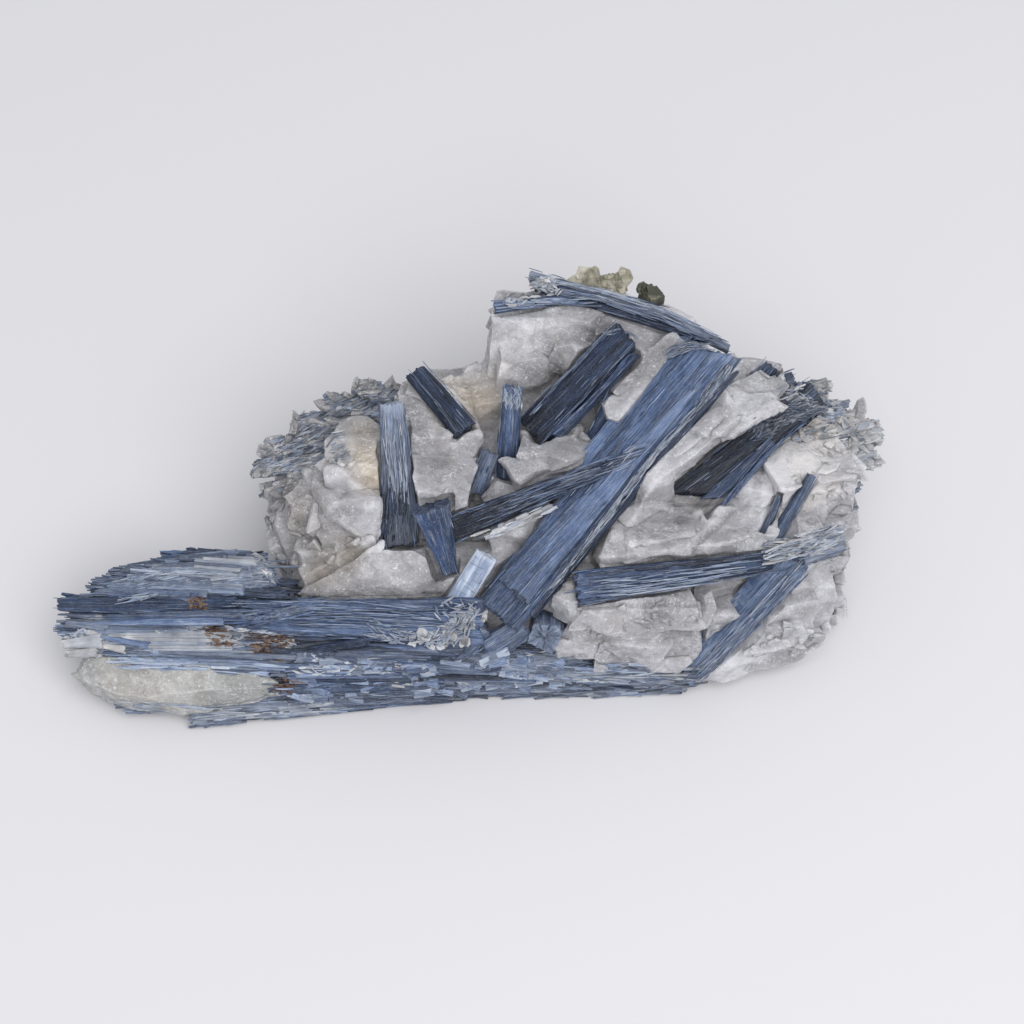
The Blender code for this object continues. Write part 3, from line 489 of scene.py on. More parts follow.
    def splinters(self, arm, count):
        """Loose fibres on a blade: along its edges, over its broad side, and past its ends."""
        rng = self.rng
        along, across, out = axes_of(arm)
        length = length_of(arm)
        n = int(count)
        u = rng.uniform(0.0, 1.0, n) * length
        left, right = arm.fringe
        edge = rng.random(n) < EDGE_SHARE
        pick = np.where(rng.random(n) < left / max(left + right, 1e-6), 1, -1)
        v = np.where(edge, pick * (0.47 - np.abs(rng.normal(0, 0.05, n))), rng.uniform(-0.42, 0.42, n))
        scale = 1 + (arm.taper - 1) * u / length
        span = rng.lognormal(math.log(sum(FIBRE_LENGTH) / 3), 0.5, n).clip(*FIBRE_LENGTH)
        u = u.clip(span / 2 - 0.3, length - span / 2 + 0.4)
        yaw = rng.normal(0, 0.03, n) + np.where(edge, -0.02 * pick, 0)
        lift = arm.thickness * np.where(edge, 0.40, 0.47) + bow(arm, u) + rng.uniform(-0.05, 0.1, n)
        middle = on_arm(arm, u, v * arm.width * scale, lift)
        way = unit(along + across * yaw[:, None] + out * rng.normal(0, 0.015, n)[:, None])
        a, b = both_ends(middle, way, span)
        lean = unit(out + across * np.where(edge, pick * 0.6, rng.normal(0, 0.2, n))[:, None])
        limits = FIBRE_WIDTH, FIBRE_THICKNESS, FIBRE_TONE, FIBRE_PALENESS
        self.laths(a, b, lean, *(rng.uniform(*limit, n) for limit in limits), (0.4, 0.3))

    def build(self, name, material, slot, *nodes):
        points = np.concatenate(self.points)
        mesh = made(name, points, self.faces)
        give(mesh, tone=np.concatenate(self.tone), pale=np.concatenate(self.pale), rust=rust_at(points),
             grain=np.concatenate(self.grain))
        return placed(name, mesh, material, slot, *nodes)


# ================================================================ materials
class Nodes:
    """Short words for building a material's node tree."""

    def __init__(self, name):
        self.material = bpy.data.materials.new(name)
        self.material.use_nodes = True
        self.tree = self.material.node_tree
        self.shader = self.tree.nodes["Principled BSDF"]

    def node(self, kind, **settings):
        node = self.tree.nodes.new(kind)
        for key, value in settings.items():
            setattr(node, key, value)
        return node

    def put(self, socket, value):
        """Links an output to a socket, or sets the socket to a number or colour."""
        if hasattr(value, "is_output"):
            self.tree.links.new(value, socket)
        else:
            socket.default_value = value

    def feed(self, node, **inputs):
        """Puts values in sockets, by name with _ for each space, or by number as i0, i1."""
        for key, value in inputs.items():
            by_number = key.startswith("i")
            self.put(node.inputs[int(key[1:]) if by_number else key.replace("_", " ")], value)
        return node

    def attribute(self, name, output="Fac"):
        return self.node("ShaderNodeAttribute", attribute_name=name).outputs[output]

    def place(self):
        """Where the point is, in metres, in the row frame."""
        return self.node("ShaderNodeTexCoord").outputs["Object"]

    def scaled(self, vector, scale, turn=(0.0, 0.0, 0.0)):
        node = self.node("ShaderNodeMapping")
        return self.feed(node, Scale=scale, Rotation=turn, Vector=vector).outputs["Vector"]

    def noise(self, vector, scale, detail=3.0, rough=0.55, distort=0.0):
        node = self.node("ShaderNodeTexNoise")
        self.feed(node, Vector=vector, Scale=scale, Detail=detail, Roughness=rough, Distortion=distort)
        return node.outputs["Fac"]

    def math(self, operation, a, b):
        return self.feed(self.node("ShaderNodeMath", operation=operation), i0=a, i1=b).outputs[0]

    def product(self, first, *others):
        for other in others:
            first = self.math("MULTIPLY", first, other)
        return first

    def total(self, *terms):
        """A sum of (value, weight) pairs and plain numbers."""
        result = None
        for term in terms:
            part = self.product(*term) if isinstance(term, tuple) else term
            result = part if result is None else self.math("ADD", result, part)
        return result

    def held(self, value, most):
        """The value, kept from 0 to that."""
        return self.math("MINIMUM", self.math("MAXIMUM", value, 0.0), most)

    def near_half(self, value, reach):
        """1 where the value is a half, down to 0 where it is that far from it: thin lines in a noise."""
        return self.span(self.math("ABSOLUTE", self.math("SUBTRACT", value, 0.5), 0.0), reach, 0.0)

    def span(self, value, low, high, to_low=0.0, to_high=1.0):
        node = self.node("ShaderNodeMapRange")
        self.feed(node, Value=value, From_Min=low, From_Max=high, To_Min=to_low, To_Max=to_high)
        return node.outputs[0]

    def ramp(self, value, *stops):
        node = self.node("ShaderNodeValToRGB")
        elements = node.color_ramp.elements
        while len(elements) < len(stops):
            elements.new(0.5)
        for element, (position, colour) in zip(elements, stops):
            element.position = position
            element.color = screen(*colour)
        return self.feed(node, Fac=value).outputs["Color"]

    def over(self, colour, top, share):
        """A colour with another laid over it, by that share. Colours are outputs or (r, g, b)."""
        node = self.node("ShaderNodeMix", data_type="RGBA")
        sockets = [node.inputs[0]] + [s for s in node.inputs if s.type == "RGBA"]
        for socket, value in zip(sockets, (share, colour, top)):
            self.put(socket, screen(*value) if isinstance(value, tuple) else value)
        return [s for s in node.outputs if s.type == "RGBA"][0]

    def finish(self, colour, rough, height, strength, depth, **settings):
        """Feeds the shader: colour, roughness, and a bump of that height, strength and depth (m)."""
        bump = self.feed(self.node("ShaderNodeBump"), Height=height, Strength=strength, Distance=depth)
        self.feed(self.shader, Base_Color=colour, Roughness=rough, Normal=bump.outputs["Normal"], **settings)
        return self.material


# colours are 0 to 255, as a screen shows them. Scales run from dark to light by (value, colour).
KYANITE_BLUES = (
    (0.0, (15, 20, 32)), (0.3, (44, 60, 90)), (0.52, (84, 107, 148)), (0.75, (134, 152, 181)),
    (1.0, (196, 204, 214)),
)
KYANITE_GREYS = ((0.0, (72, 78, 90)), (0.35, (122, 129, 142)), (0.6, (162, 168, 178)), (1.0, (222, 224, 226)))
# for the kyanite: pale fibres with painted glints, painted shade in grooves, and painted highlights on ribs
SILVER_FIBRE_AND_GLINT, GROOVE_SHADE, RIB_HIGHLIGHT = (190, 198, 212), (22, 28, 42), (186, 195, 208)
CRUMB_GREYS = ((0.3, (126, 126, 128)), (0.5, (168, 167, 168)), (0.7, (204, 203, 204)))
RUST_BROWNS = ((0.38, (34, 24, 22)), (0.5, (76, 53, 41)), (0.64, (132, 108, 88)))
QUARTZ_GREYS = ((104, 103, 105), (158, 157, 161), (208, 207, 212))
YELLOWISH_GREYS = ((104, 104, 102), (153, 153, 152), (198, 198, 198))
QUARTZ_BEIGES = ((112, 100, 88), (172, 160, 144), (214, 206, 194))
QUARTZ_STOPS = (0.1, 0.5, 0.9)
CRACK, WHITE_SCRATCH_AND_GLINT, DIM = (226, 226, 229), (234, 234, 238), (112, 110, 110)
GLASSY_BLUES = ((0.2, (100, 118, 154)), (0.5, (162, 178, 206)), (0.8, (216, 226, 240)))
GLASSY_CRACK, GLASSY_INSIDE, GLASSY_RIM = (76, 92, 124), (78, 96, 134), (232, 238, 246)
MICA_BROWNS = ((0.15, (58, 60, 46)), (0.4, (140, 135, 119)), (0.65, (190, 185, 170)), (0.9, (218, 215, 204)))


def screen(r, g, b):
    """A colour given as 0 to 255, as a screen shows it."""
    return (*(c / 3294.6 if c <= 10.3 else ((c / 255 + 0.055) / 1.055) ** 2.4 for c in (r, g, b)), 1.0)


def kyanite_finish():
    """Silky blue: streaks along the grain from navy to steel, greyer where pale, brown where rusty."""
    n = Nodes("kyanite")
    grain = n.attribute("grain", "Vector")
    tone, pale, rust = n.attribute("tone"), n.attribute("pale"), n.attribute("rust")

    def streaks(along, across, detail=2.0, rough=0.6):
        return n.noise(n.scaled(grain, (along, across, across)), 1.0, detail, rough)

    broad, fine, hair = streaks(0.07, 0.7, 3.0, 0.55), streaks(0.16, 3.6, 3.0), streaks(0.4, 12.0)
    cloud = n.noise(n.place(), 300.0)
    value = n.total((tone, 0.72), (broad, 0.3), (fine, 0.36), (hair, 0.36), (cloud, 0.26), -0.685)
    blue, grey = n.ramp(value, *KYANITE_BLUES), n.ramp(value, *KYANITE_GREYS)
    speck = streaks(0.8, 3.0, 4.0, 0.7)
    colour = n.over(blue, grey, n.held(n.total((pale, 1.0), (n.span(speck, 0.42, 0.66), 0.5), -0.25), 0.92))
    # pale dashes along the grain: partly silvery fibres, partly painted glints
    fibre_and_glint = n.span(streaks(3.6, 11.0, 2.0, 0.7), 0.63, 0.71)
    colour = n.over(colour, SILVER_FIBRE_AND_GLINT, n.product(fibre_and_glint, 0.4))
    # painted shade in long thin grooves, and painted highlights on long thin ribs
    line = streaks(0.13, 8.0, 2.0, 0.65)
    colour = n.over(colour, GROOVE_SHADE, n.product(n.span(line, 0.42, 0.32), 0.5))
    rib_highlight_share = n.product(n.span(line, 0.58, 0.68), n.span(value, 0.1, 0.5, 0.15, 0.6))
    colour = n.over(colour, RIB_HIGHLIGHT, rib_highlight_share)
    colour = n.over(colour, n.ramp(cloud, *CRUMB_GREYS), n.span(pale, 0.9, 1.3))
    stain = n.noise(n.place(), 1300.0, 3.0, 0.7)
    brown = n.ramp(stain, *RUST_BROWNS)
    rusty = n.span(n.total((rust, 1.0), (stain, 2.2), -1.45), 0.1, 0.3)
    colour = n.over(colour, brown, n.held(rusty, 0.95))
    height = n.total((fine, 0.7), (hair, 0.5), (speck, 0.3))
    return n.finish(colour, n.span(fine, 0.3, 0.7, 0.32, 0.6), height, 0.7, 0.0002, Specular_IOR_Level=0.28)


def quartz_finish(name, greys):
    """Milky quartz: soft grey clouds, white crackle, and specks that are painted glints. Warm takes it
    towards beige.
    """
    n = Nodes(name)
    place = n.place()
    shade, warm = n.attribute("shade"), n.attribute("warm")

    def patch(scale, low, high, detail=3.0, rough=0.55):
        return n.span(n.noise(place, scale, detail, rough), low, high)

    cloud = n.noise(place, 85.0, 4.0, 0.6, 0.5)
    veil = n.noise(n.scaled(place, (1.0, 1.7, 1.3), (0.4, 0.2, 0.6)), 330.0, 5.0, 0.7, 0.8)
    grain = n.noise(place, 1300.0, 4.0, 0.75)
    # broken plates: cells whose borders waver
    waver = n.feed(n.node("ShaderNodeTexNoise"), Vector=place, Scale=260.0, Detail=2.0)
    shift = n.feed(n.node("ShaderNodeVectorMath", operation="SCALE"), i0=waver.outputs["Color"], Scale=0.004)
    apart = n.feed(n.node("ShaderNodeVectorMath", operation="ADD"),
                   i0=n.scaled(place, (1.0, 1.6, 1.2), (0.5, 0.2, 0.4)), i1=shift.outputs[0])
    cells = n.feed(n.node("ShaderNodeTexVoronoi", feature="F1"), Vector=apart.outputs[0], Scale=330.0)
    plate = n.product(cells.outputs["Color"], 1.0)
    value = n.total((shade, 1.0), (cloud, 0.4), (veil, 0.46), (grain, 0.2), (plate, 0.16), -0.61)
    beige, grey = n.ramp(value, *zip(QUARTZ_STOPS, QUARTZ_BEIGES)), n.ramp(value, *zip(QUARTZ_STOPS, greys))
    tint = n.total((warm, 1.0), (n.noise(place, 140.0, 3.0, 0.6), 0.5), -0.25)
    colour = n.over(grey, beige, n.held(tint, 1.0))
    # healed cracks and scratches show white, fine specks are painted glints, and some patches dim
    wide = n.noise(n.scaled(place, (1.0, 1.5, 1.2), (0.3, 0.5, 0.1)), 190.0, 5.0, 0.6, 1.6)
    crack = n.near_half(wide, 0.022)
    colour = n.over(colour, CRACK, n.product(crack, patch(230.0, 0.46, 0.62), 0.6))
    hairline = n.noise(n.scaled(place, (1.6, 1.0, 1.3), (0.8, 0.1, 0.5)), 480.0, 5.0, 0.65, 2.2)
    thin = n.product(n.near_half(hairline, 0.02), patch(160.0, 0.42, 0.6))
    colour = n.over(colour, WHITE_SCRATCH_AND_GLINT, n.product(thin, 0.55))
    dim = n.noise(n.scaled(place, (1.0, 1.4, 1.8), (0.2, 0.9, 0.3)), 240.0, 4.0, 0.6, 1.0)
    colour = n.over(colour, DIM, n.product(n.span(dim, 0.6, 0.72), 0.35))
    # fine white specks: painted glints
    colour = n.over(colour, WHITE_SCRATCH_AND_GLINT, n.product(patch(1600.0, 0.61, 0.72, 2.0, 0.6), 0.55))
    height = n.total((veil, 0.9), (grain, 0.6), (plate, 0.6), (crack, -0.06), (thin, -0.05))
    rough = n.span(n.noise(place, 420.0), 0.35, 0.65, 0.22, 0.55)
    return n.finish(colour, rough, height, 0.75, 0.0005, IOR=1.5, Subsurface_Weight=0.7,
                    Subsurface_Radius=(1.0, 0.97, 0.95), Subsurface_Scale=0.0026)


def glassy_finish():
    """A pale, partly clear blade with fine cracks straight across its grain."""
    n = Nodes("glassy_kyanite")
    grain = n.attribute("grain", "Vector")
    streak = n.noise(n.scaled(grain, (0.1, 2.0, 2.0)), 1.0)
    cross = n.noise(n.scaled(grain, (3.2, 0.25, 0.25)), 1.0, 2.0)
    value = n.total((streak, 1.0), (n.attribute("tone"), 0.6), -0.24)
    colour = n.ramp(value, *GLASSY_BLUES)
    colour = n.over(colour, GLASSY_CRACK, n.product(n.span(cross, 0.60, 0.66), 0.5))
    inner = n.span(n.noise(n.scaled(grain, (0.2, 0.8, 0.8)), 1.0, 2.0), 0.44, 0.56)
    colour = n.over(colour, GLASSY_INSIDE, n.product(inner, 0.5))
    rim = n.span(n.attribute("pale"), 0.95, 1.15)
    colour = n.over(colour, GLASSY_RIM, n.product(rim, 0.8))
    height = n.total((streak, 0.6), (cross, 0.4))
    return n.finish(colour, n.span(streak, 0.3, 0.7, 0.12, 0.3), height, 0.4, 0.0002,
                    Transmission_Weight=0.25, IOR=1.72, Coat_Weight=0.4, Coat_Roughness=0.1)


def mica_finish():
    """Mica: dark olive where the shade is low, pale brown where it is high."""
    n = Nodes("mica")
    place = n.place()
    layers = n.noise(n.scaled(place, (1, 1, 2.2)), 420.0, 4.0)
    value = n.total((layers, 0.8), (n.attribute("shade"), 1.0), -0.4)
    colour = n.ramp(value, *MICA_BROWNS)
    rough = n.span(n.noise(place, 800.0), 0.3, 0.7, 0.25, 0.5)
    return n.finish(colour, rough, n.noise(place, 900.0, 4.0), 0.4, 0.0003)


KYANITE = kyanite_finish()
QUARTZ = quartz_finish("quartz", QUARTZ_GREYS)
YELLOW_QUARTZ = quartz_finish("yellow_quartz", YELLOWISH_GREYS)
GLASSY = glassy_finish()
MICA = mica_finish()


# ================================================================ the quartz
SAME_POINT = 0.004  # CAD points that lie no further apart than this (mm) are one
CUTS_MOST = 9  # how often edges are halved


def subdivided(name, node, longest):
    """A CAD node's faces cut into triangles no longer than that, its edges kept."""
    points, faces = cad_points(node)
    bm = bmesh.new()
    verts = [bm.verts.new(p) for p in points.tolist()]
    for face in faces.tolist():
        bm.faces.new([verts[i] for i in face])
    bmesh.ops.remove_doubles(bm, verts=bm.verts, dist=SAME_POINT)
    for _ in range(CUTS_MOST):
        edges = [e for e in bm.edges if e.calc_length() > longest]
        if not edges:
            break
        bmesh.ops.subdivide_edges(bm, edges=edges, cuts=1)
        bmesh.ops.triangulate(bm, faces=[f for f in bm.faces if len(f.verts) > 3])
    bmesh.ops.recalc_face_normals(bm, faces=bm.faces)
    bmesh.ops.scale(bm, vec=(MM, MM, MM), verts=bm.verts)
    bmesh.ops.translate(bm, vec=ROW_SHIFT * MM, verts=bm.verts)
    mesh = bpy.data.meshes.new(name)
    bm.to_mesh(mesh)
    bm.free()
    return mesh


def thinned(obj, most, sharp):
    """Merges a piece's flattest triangles until no more than that many are left."""
    count = len(obj.data.polygons)
    if count > most:
        obj.modifiers.new("thinned", "DECIMATE").ratio = most / count
        graph = bpy.context.evaluated_depsgraph_get()
        mesh = bpy.data.meshes.new_from_object(obj.evaluated_get(graph))
        move(mesh, mesh_arrays(mesh)[0])
        mesh.set_sharp_from_angle(angle=math.radians(sharp))
        obj.modifiers.clear()
        obj.data = mesh
    return obj


def mesh_arrays(mesh):
    """A mesh's points (mm, sketch frame), their normals, and its edges."""
    points = np.empty(len(mesh.vertices) * 3)
    mesh.vertices.foreach_get("co", points)
    normals = np.empty(len(mesh.vertices) * 3)
    mesh.vertex_normals.foreach_get("vector", normals)
    edges = np.empty(len(mesh.edges) * 2, np.int64)
    mesh.edges.foreach_get("vertices", edges)
    return to_sketch(points.reshape(-1, 3)), normals.reshape(-1, 3), edges.reshape(-1, 2)


def smoothed(values, edges, rounds):
    """Values at vertices, each averaged with its neighbours a few times."""
    here, there = np.concatenate([edges, edges[:, ::-1]]).T
    size = len(values)
    count = 1 + np.bincount(here, minlength=size)[:, None]
    for _ in range(rounds):
        near = [np.bincount(here, values[there, i], size) for i in range(values.shape[1])]
        values = (values + np.stack(near, 1)) / count
    return values


def raised(mesh, heights, sharp):
    """Moves each vertex out along its normal by heights(points, normals)."""
    points, normals, edges = mesh_arrays(mesh)
    height = heights(points, normals)
    points = points + unit(smoothed(normals, edges, 2)) * height[:, None]
    mesh.polygons.foreach_set("use_smooth", np.ones(len(mesh.polygons), bool))
    move(mesh, points)
    mesh.set_sharp_from_angle(angle=math.radians(sharp))
    return points


def quartz_height(points):
    """How far the broken faces of the quartz stand out: large, middling and small facets, in mm."""
    big = facets(points, 8.0, 11, (0.8, 1.0, 1.2))
    mid = facets(points, 3.6, 22, (0.7, 1.0, 1.2))
    small = facets(points, 1.6, 33, (0.7, 1.0, 1.1))
    rough = (0.5 + waves(points, 12, 18)).clip(0, 1.2)
    return 1.6 * big + 0.9 * mid + 0.4 * small * rough


# view place, reach in mm, and how much lighter and warmer the quartz is there
# lightness: partly the quartz's own, partly painted light and shade; (660, 618), (680, 640): painted shade in
# a recess
QUARTZ_SPOTS = [
    (520, 345, 4.5, 0.26, 0.0), (505, 360, 3.5, 0.1, 0.1), (560, 320, 4.0, 0.0, 0.1),
    (600, 320, 4.0, -0.1, 0.05), (560, 370, 4.5, 0.02, 0.15), (640, 370, 5.0, -0.05, 0.0),
    (615, 405, 2.5, -0.05, 0.1), (555, 450, 6.0, -0.06, 0.0), (390, 580, 8.0, 0.04, 0.05),
    (425, 590, 4.0, 0.05, 0.0), (320, 572, 4.0, -0.18, 0.5), (350, 555, 3.0, -0.2, 0.5),
    (320, 515, 6.0, -0.18, 0.15), (295, 520, 3.5, -0.15, 0.15), (345, 505, 4.0, 0.02, 0.0),
    (365, 455, 4.0, -0.12, 1.0), (375, 480, 3.0, -0.1, 0.8), (365, 430, 3.0, -0.1, 0.6),
    (440, 420, 4.0, 0.02, 0.1), (440, 470, 5.0, -0.12, 0.1), (420, 395, 3.5, 0.1, 0.1),
    (480, 400, 5.0, 0.04, 0.75), (460, 380, 4.0, 0.05, 0.5), (650, 470, 4.0, 0.24, 0.0),
    (680, 440, 5.0, 0.1, 0.0), (720, 430, 4.0, -0.06, 0.0), (745, 405, 5.0, 0.26, 0.0),
    (690, 400, 4.0, 0.06, 0.0), (650, 500, 4.0, -0.05, 0.05), (600, 530, 6.0, 0.06, 0.0),
    (640, 540, 5.0, 0.04, 0.05), (720, 520, 6.0, 0.12, 0.05), (700, 540, 4.0, 0.02, 0.1),
    (800, 470, 7.0, 0.4, 0.4), (830, 430, 6.0, 0.16, 0.35), (850, 400, 4.0, -0.2, 0.3),
    (830, 500, 4.0, 0.16, 0.2), (840, 520, 4.0, 0.06, 0.0), (610, 625, 5.0, 0.1, 0.25),
    (660, 618, 3.0, -0.3, 0.1), (680, 640, 4.0, -0.2, 0.0), (620, 655, 5.0, 0.06, 0.0),
    (780, 620, 7.0, 0.12, 0.0), (740, 660, 5.0, 0.14, 0.0), (810, 600, 5.0, 0.04, 0.1),
    (500, 520, 3.0, 0.1, 0.0), (480, 490, 4.0, -0.1, 0.1), (545, 610, 4.0, -0.1, 0.0),
    (120, 680, 5.0, 0.05, 0.15), (150, 690, 4.0, -0.05, 0.2), (200, 685, 4.0, -0.15, 0.1),
    (230, 682, 4.0, -0.2, 0.0), (90, 670, 4.0, 0.05, 0.0),
]
SHADE = soft_spots((px, py, reach, reach, shade) for px, py, reach, shade, _ in QUARTZ_SPOTS)
WARM = soft_spots((px, py, reach, reach, warm) for px, py, reach, _, warm in QUARTZ_SPOTS)


def tint(mesh, points, extra):
    """Writes how light and how warm the stone is at its points; the lightness holds painted light and shade.
    """
    side = 0.12 * waves(points, 22, 5) + 0.06 * waves(points, 7, 6)
    shade = patches(points, SHADE, 0.5) + side + extra
    give(mesh, shade=shade, warm=patches(points, WARM) + 0.1 * waves(points, 30, 9))


FLAKE_CORNERS = 6
FLAKE_RINGS = ((0.86, 0.0), (1.0, 0.32), (0.7, 1.5))  # top, rim and root: share of its reach, and drop


def flake_places(node, count, usual, off, inside, behind, rng):
    """Where chips lie on a node, clear of the surface off, the way out of it there, and their reaches."""
    where, normal = sampled([node], count, rng)
    if inside:
        keep = np.max([within(outline, in_view(where)) for outline in inside], axis=0) > 0
        keep &= (normal @ TO_EYE > 0) != behind
        where, normal = where[keep], normal[keep]
    radius = rng.lognormal(math.log(usual), 0.45, len(where)).clip(usual * 0.35, usual * 2.6)
    clear = how_far(off, where) > radius * 0.9 + 0.2
    return where[clear], normal[clear], radius[clear]


def flakes(name, material, slot, node, seed, count, usual, lift, tilt, off=CRYSTALS_ONLY, shade=0.0,
           inside=None, behind=False):
    """Flat chips with crisp rims, set into a broken face so that their edges stand out as ledges."""
    rng = np.random.default_rng(seed)
    where, normal, radius = flake_places(node, count, usual, off, inside, behind, rng)
    n, m = len(where), FLAKE_CORNERS
    up = unit(normal + rng.normal(0, tilt, (n, 3)))
    side = unit(np.cross(up, rng.normal(0, 1, (n, 3))))
    other = np.cross(up, side)
    angle = (np.arange(m)[None] + rng.uniform(-0.38, 0.38, (n, m))) * 2 * math.pi / m
    far = rng.uniform(0.5, 1.2, (n, m)) * radius[:, None]
    x = np.cos(angle) * far
    y = np.sin(angle) * far * rng.uniform(0.5, 1.0, n)[:, None]
    raise_ = rng.uniform(*lift, n) * (0.5 + 0.5 * radius / usual).clip(0, 1.6)
    slope = rng.normal(0, 0.10, (n, 2))
    rings = []
    for shrink, drop in FLAKE_RINGS:
        z = raise_[:, None] + x * slope[:, :1] + y * slope[:, 1:]
        z = z - drop * (0.35 + 0.4 * radius[:, None] * 0.5)
        ring = where[:, None] + side[:, None] * (x * shrink)[..., None]
        rings.append(ring + other[:, None] * (y * shrink)[..., None] + up[:, None] * z[..., None])
    points = np.stack(rings, 1)
    k = len(FLAKE_RINGS)
    index = np.arange(n * k * m).reshape(n, k, m)
    nxt = np.roll(index, -1, axis=2)
    bands = [np.stack([index[:, i + 1], nxt[:, i + 1], nxt[:, i], index[:, i]], -1) for i in range(k - 1)]
    bands = np.concatenate([band.reshape(-1, 4) for band in bands])
    faces = index[:, 0].tolist() + index[:, -1, ::-1].tolist() + bands.tolist()
    flat = points.reshape(-1, 3)
    mesh = made(name, flat, faces)
    tint(mesh, flat, np.repeat(rng.normal(shade, 0.045, n), k * m))
    return placed(name, mesh, material, slot, node)


# outlines in the view of blocks that stand out of the face round them, and how far
TERRACES = [
    ([(697, 395), (722, 387), (738, 388), (748, 394), (770, 393), (783, 402), (778, 412), (766, 424),
      (752, 428), (741, 440), (722, 437), (705, 437), (690, 430), (686, 412)], 1.0),
    ([(600, 508), (640, 505), (690, 506), (728, 506), (690, 553), (640, 556), (590, 562), (568, 558),
      (588, 530)], 0.8),
    ([(734, 508), (783, 509), (790, 530), (770, 548), (735, 554), (698, 553)], 0.45),
    ([(300, 470), (340, 462), (378, 500), (372, 540), (330, 520)], 0.5),
]


HEAL_ROUNDS = {"seen": 22, "hidden": 130}  # how often a seam between lumps is smoothed
FAR_SIDE_RELIEF = 0.7  # how much stronger the facets are where the view shows nothing
HEAL_CLEAR = 1.4  # how far (mm) from what the stone keeps off a seam has to be
HEAL_HOLLOW = 0.012  # how deep (mm) a point has to lie under its neighbours to count as a seam
STONE_GAP = 0.1  # between the stone's relief and what it keeps off, in mm
FACE_BEND, FACE_BEND_SIZE = 0.4, 11.0  # how far large faces are bent, and over what length, in mm
CREST_HIGHLIGHT_AND_HOLLOW_SHADE, CREST_RANGE = 0.8, (-0.1, 0.07)  # how much lighter crests (frosted rims and painted highlight) and darker hollows (painted shade) are per mm, and its limits
STONE_SHARP, CORE_SHARP = 17, 18  # edges that turn more than this (degrees) stay crisp


def healed(points, normals, edges, free):
    """Seams between neighbouring lumps grown shut, more so on the far side."""
    behind = normals @ TO_EYE < -0.1
    for i in range(HEAL_ROUNDS["hidden"]):
        middle = smoothed(points, edges, 1)
        hollow = free & (((middle - points) * normals).sum(1) > HEAL_HOLLOW) & (points[:, 2] > 0.2)
        points = np.where((hollow & (behind | (i < HEAL_ROUNDS["seen"])))[:, None], middle, points)
    return points


def stone(name, material, slot, node, longest, strength, off=CRYSTALS_ONLY, shade=0.0, most=175000):
    """A CAD node's stone, its faces broken into flat facets where it is clear of what it keeps off."""
    mesh = subdivided(name, node, longest)
    points, normals, edges = mesh_arrays(mesh)
    move(mesh, healed(points, normals, edges, how_far(off, points, 2.5) > HEAL_CLEAR))

    def heights(points, normals):
        face = normals @ TO_EYE
        height = quartz_height(points) * strength * (1 + FAR_SIDE_RELIEF * (-2 * face).clip(0, 1))
        spots = in_view(points)
        for outline, rise in TERRACES:
            height = height + rise * (within(outline, spots) / 4 + 0.5).clip(0, 1) * (face > 0)
        room = how_far(off, points, 2.0)
        return np.where(room < 1.9, np.minimum(height, room - STONE_GAP), height)

    points = raised(mesh, heights, STONE_SHARP)
    room = how_far(off, points, 1.5)
    bend = np.stack([FACE_BEND * waves(points, FACE_BEND_SIZE, salt, 1) for salt in (41, 42, 43)], 1)
    points = points + bend * (np.maximum(room - 0.3, 0) / 1.2)[:, None]
    move(mesh, points)
    _, normals, edges = mesh_arrays(mesh)
    # crests are painted lighter (frosted rims and painted highlight), hollows painted darker (painted shade)
    edge_light_and_hollow_shade = ((points - smoothed(points, edges, 3)) * normals).sum(1)
    tint(mesh, points, (edge_light_and_hollow_shade * CREST_HIGHLIGHT_AND_HOLLOW_SHADE).clip(*CREST_RANGE) + shade)
    return thinned(placed(name, mesh, material, slot, node), most, STONE_SHARP)


# outlines in the view of the parts of the lump that are broken small
CHIPPED = [
    [(780, 430), (850, 440), (862, 480), (850, 560), (800, 530), (790, 480)],
    [(268, 470), (330, 450), (380, 480), (375, 540), (330, 560), (275, 560)],
    [(585, 605), (700, 600), (720, 630), (690, 672), (600, 668)],
    [(770, 590), (810, 560), (850, 560), (830, 640), (760, 664), (715, 676), (735, 650)],
]
EVERYWHERE = [[(0, 0), (PICTURE, 0), (PICTURE, PICTURE), (0, PICTURE)]]
CRUMBLED = [[(400, 636), (440, 628), (474, 606), (488, 616), (462, 646), (420, 652)]]


def build_quartz():
    stone("quartz_matrix_stone", QUARTZ, "quartz", "quartz_matrix", 0.6, 1.0)
    stone("tail_quartz_stone", YELLOW_QUARTZ, "yellow_quartz", "tail_quartz", 0.5, 0.7)
    flakes("quartz_chips", QUARTZ, "quartz", "quartz_matrix", 77, 3000, 1.4, (-0.15, 0.06), 0.14,
           inside=CHIPPED)
    flakes("quartz_back_shards", QUARTZ, "quartz", "quartz_matrix", 79, 620, 3.2, (-0.3, 0.1), 0.12,
           inside=EVERYWHERE, behind=True)


# ================================================================ the crystals
BACK = (0.1, 0.9, 0.4)
FRONT_UP = np.array((0.0, -0.5, 0.86))  # the way that a slope looks which the view sees square on
MAIN = Arm((-2.8, -24.6, 23.4), (36.2, 17.0, 46.0), 10.2, 3.2, (-0.32, -0.28, 0.9), 1.0, (0.46, 0.6), 0.1,
           (0.2, 1.0), cut=(0.0, -4.5))
UPPER = Arm((3.4, 7.6, 33.2), (20.6, 19.8, 47.2), 7.6, 3.6, (-0.3, -0.3, 0.9), 0.84, (0.1, 0.26), -0.05,
            (0.1, 0.6))


def rear(root, tip, width, facing):
    """A blade on the back: three crystals side by side, of different lengths."""
    arm = Arm(root, tip, width * 0.62, 2.4, facing, 0.6, (0.3, 0.5), 0.15)
    length = length_of(arm)
    return [
        beside(arm, (0, length), (width * 0.12, 0.0), 0.0, width * 0.5, 2.6),
        beside(arm, (length * 0.12, length * 0.86), (-width * 0.26, -width * 0.2), -0.3, width * 0.34, 2.4,
               tone=0.3),
        beside(arm, (length * 0.05, length * 0.7), (width * 0.4, width * 0.34), -0.4, width * 0.22, 2.2,
               tone=0.6),
    ]


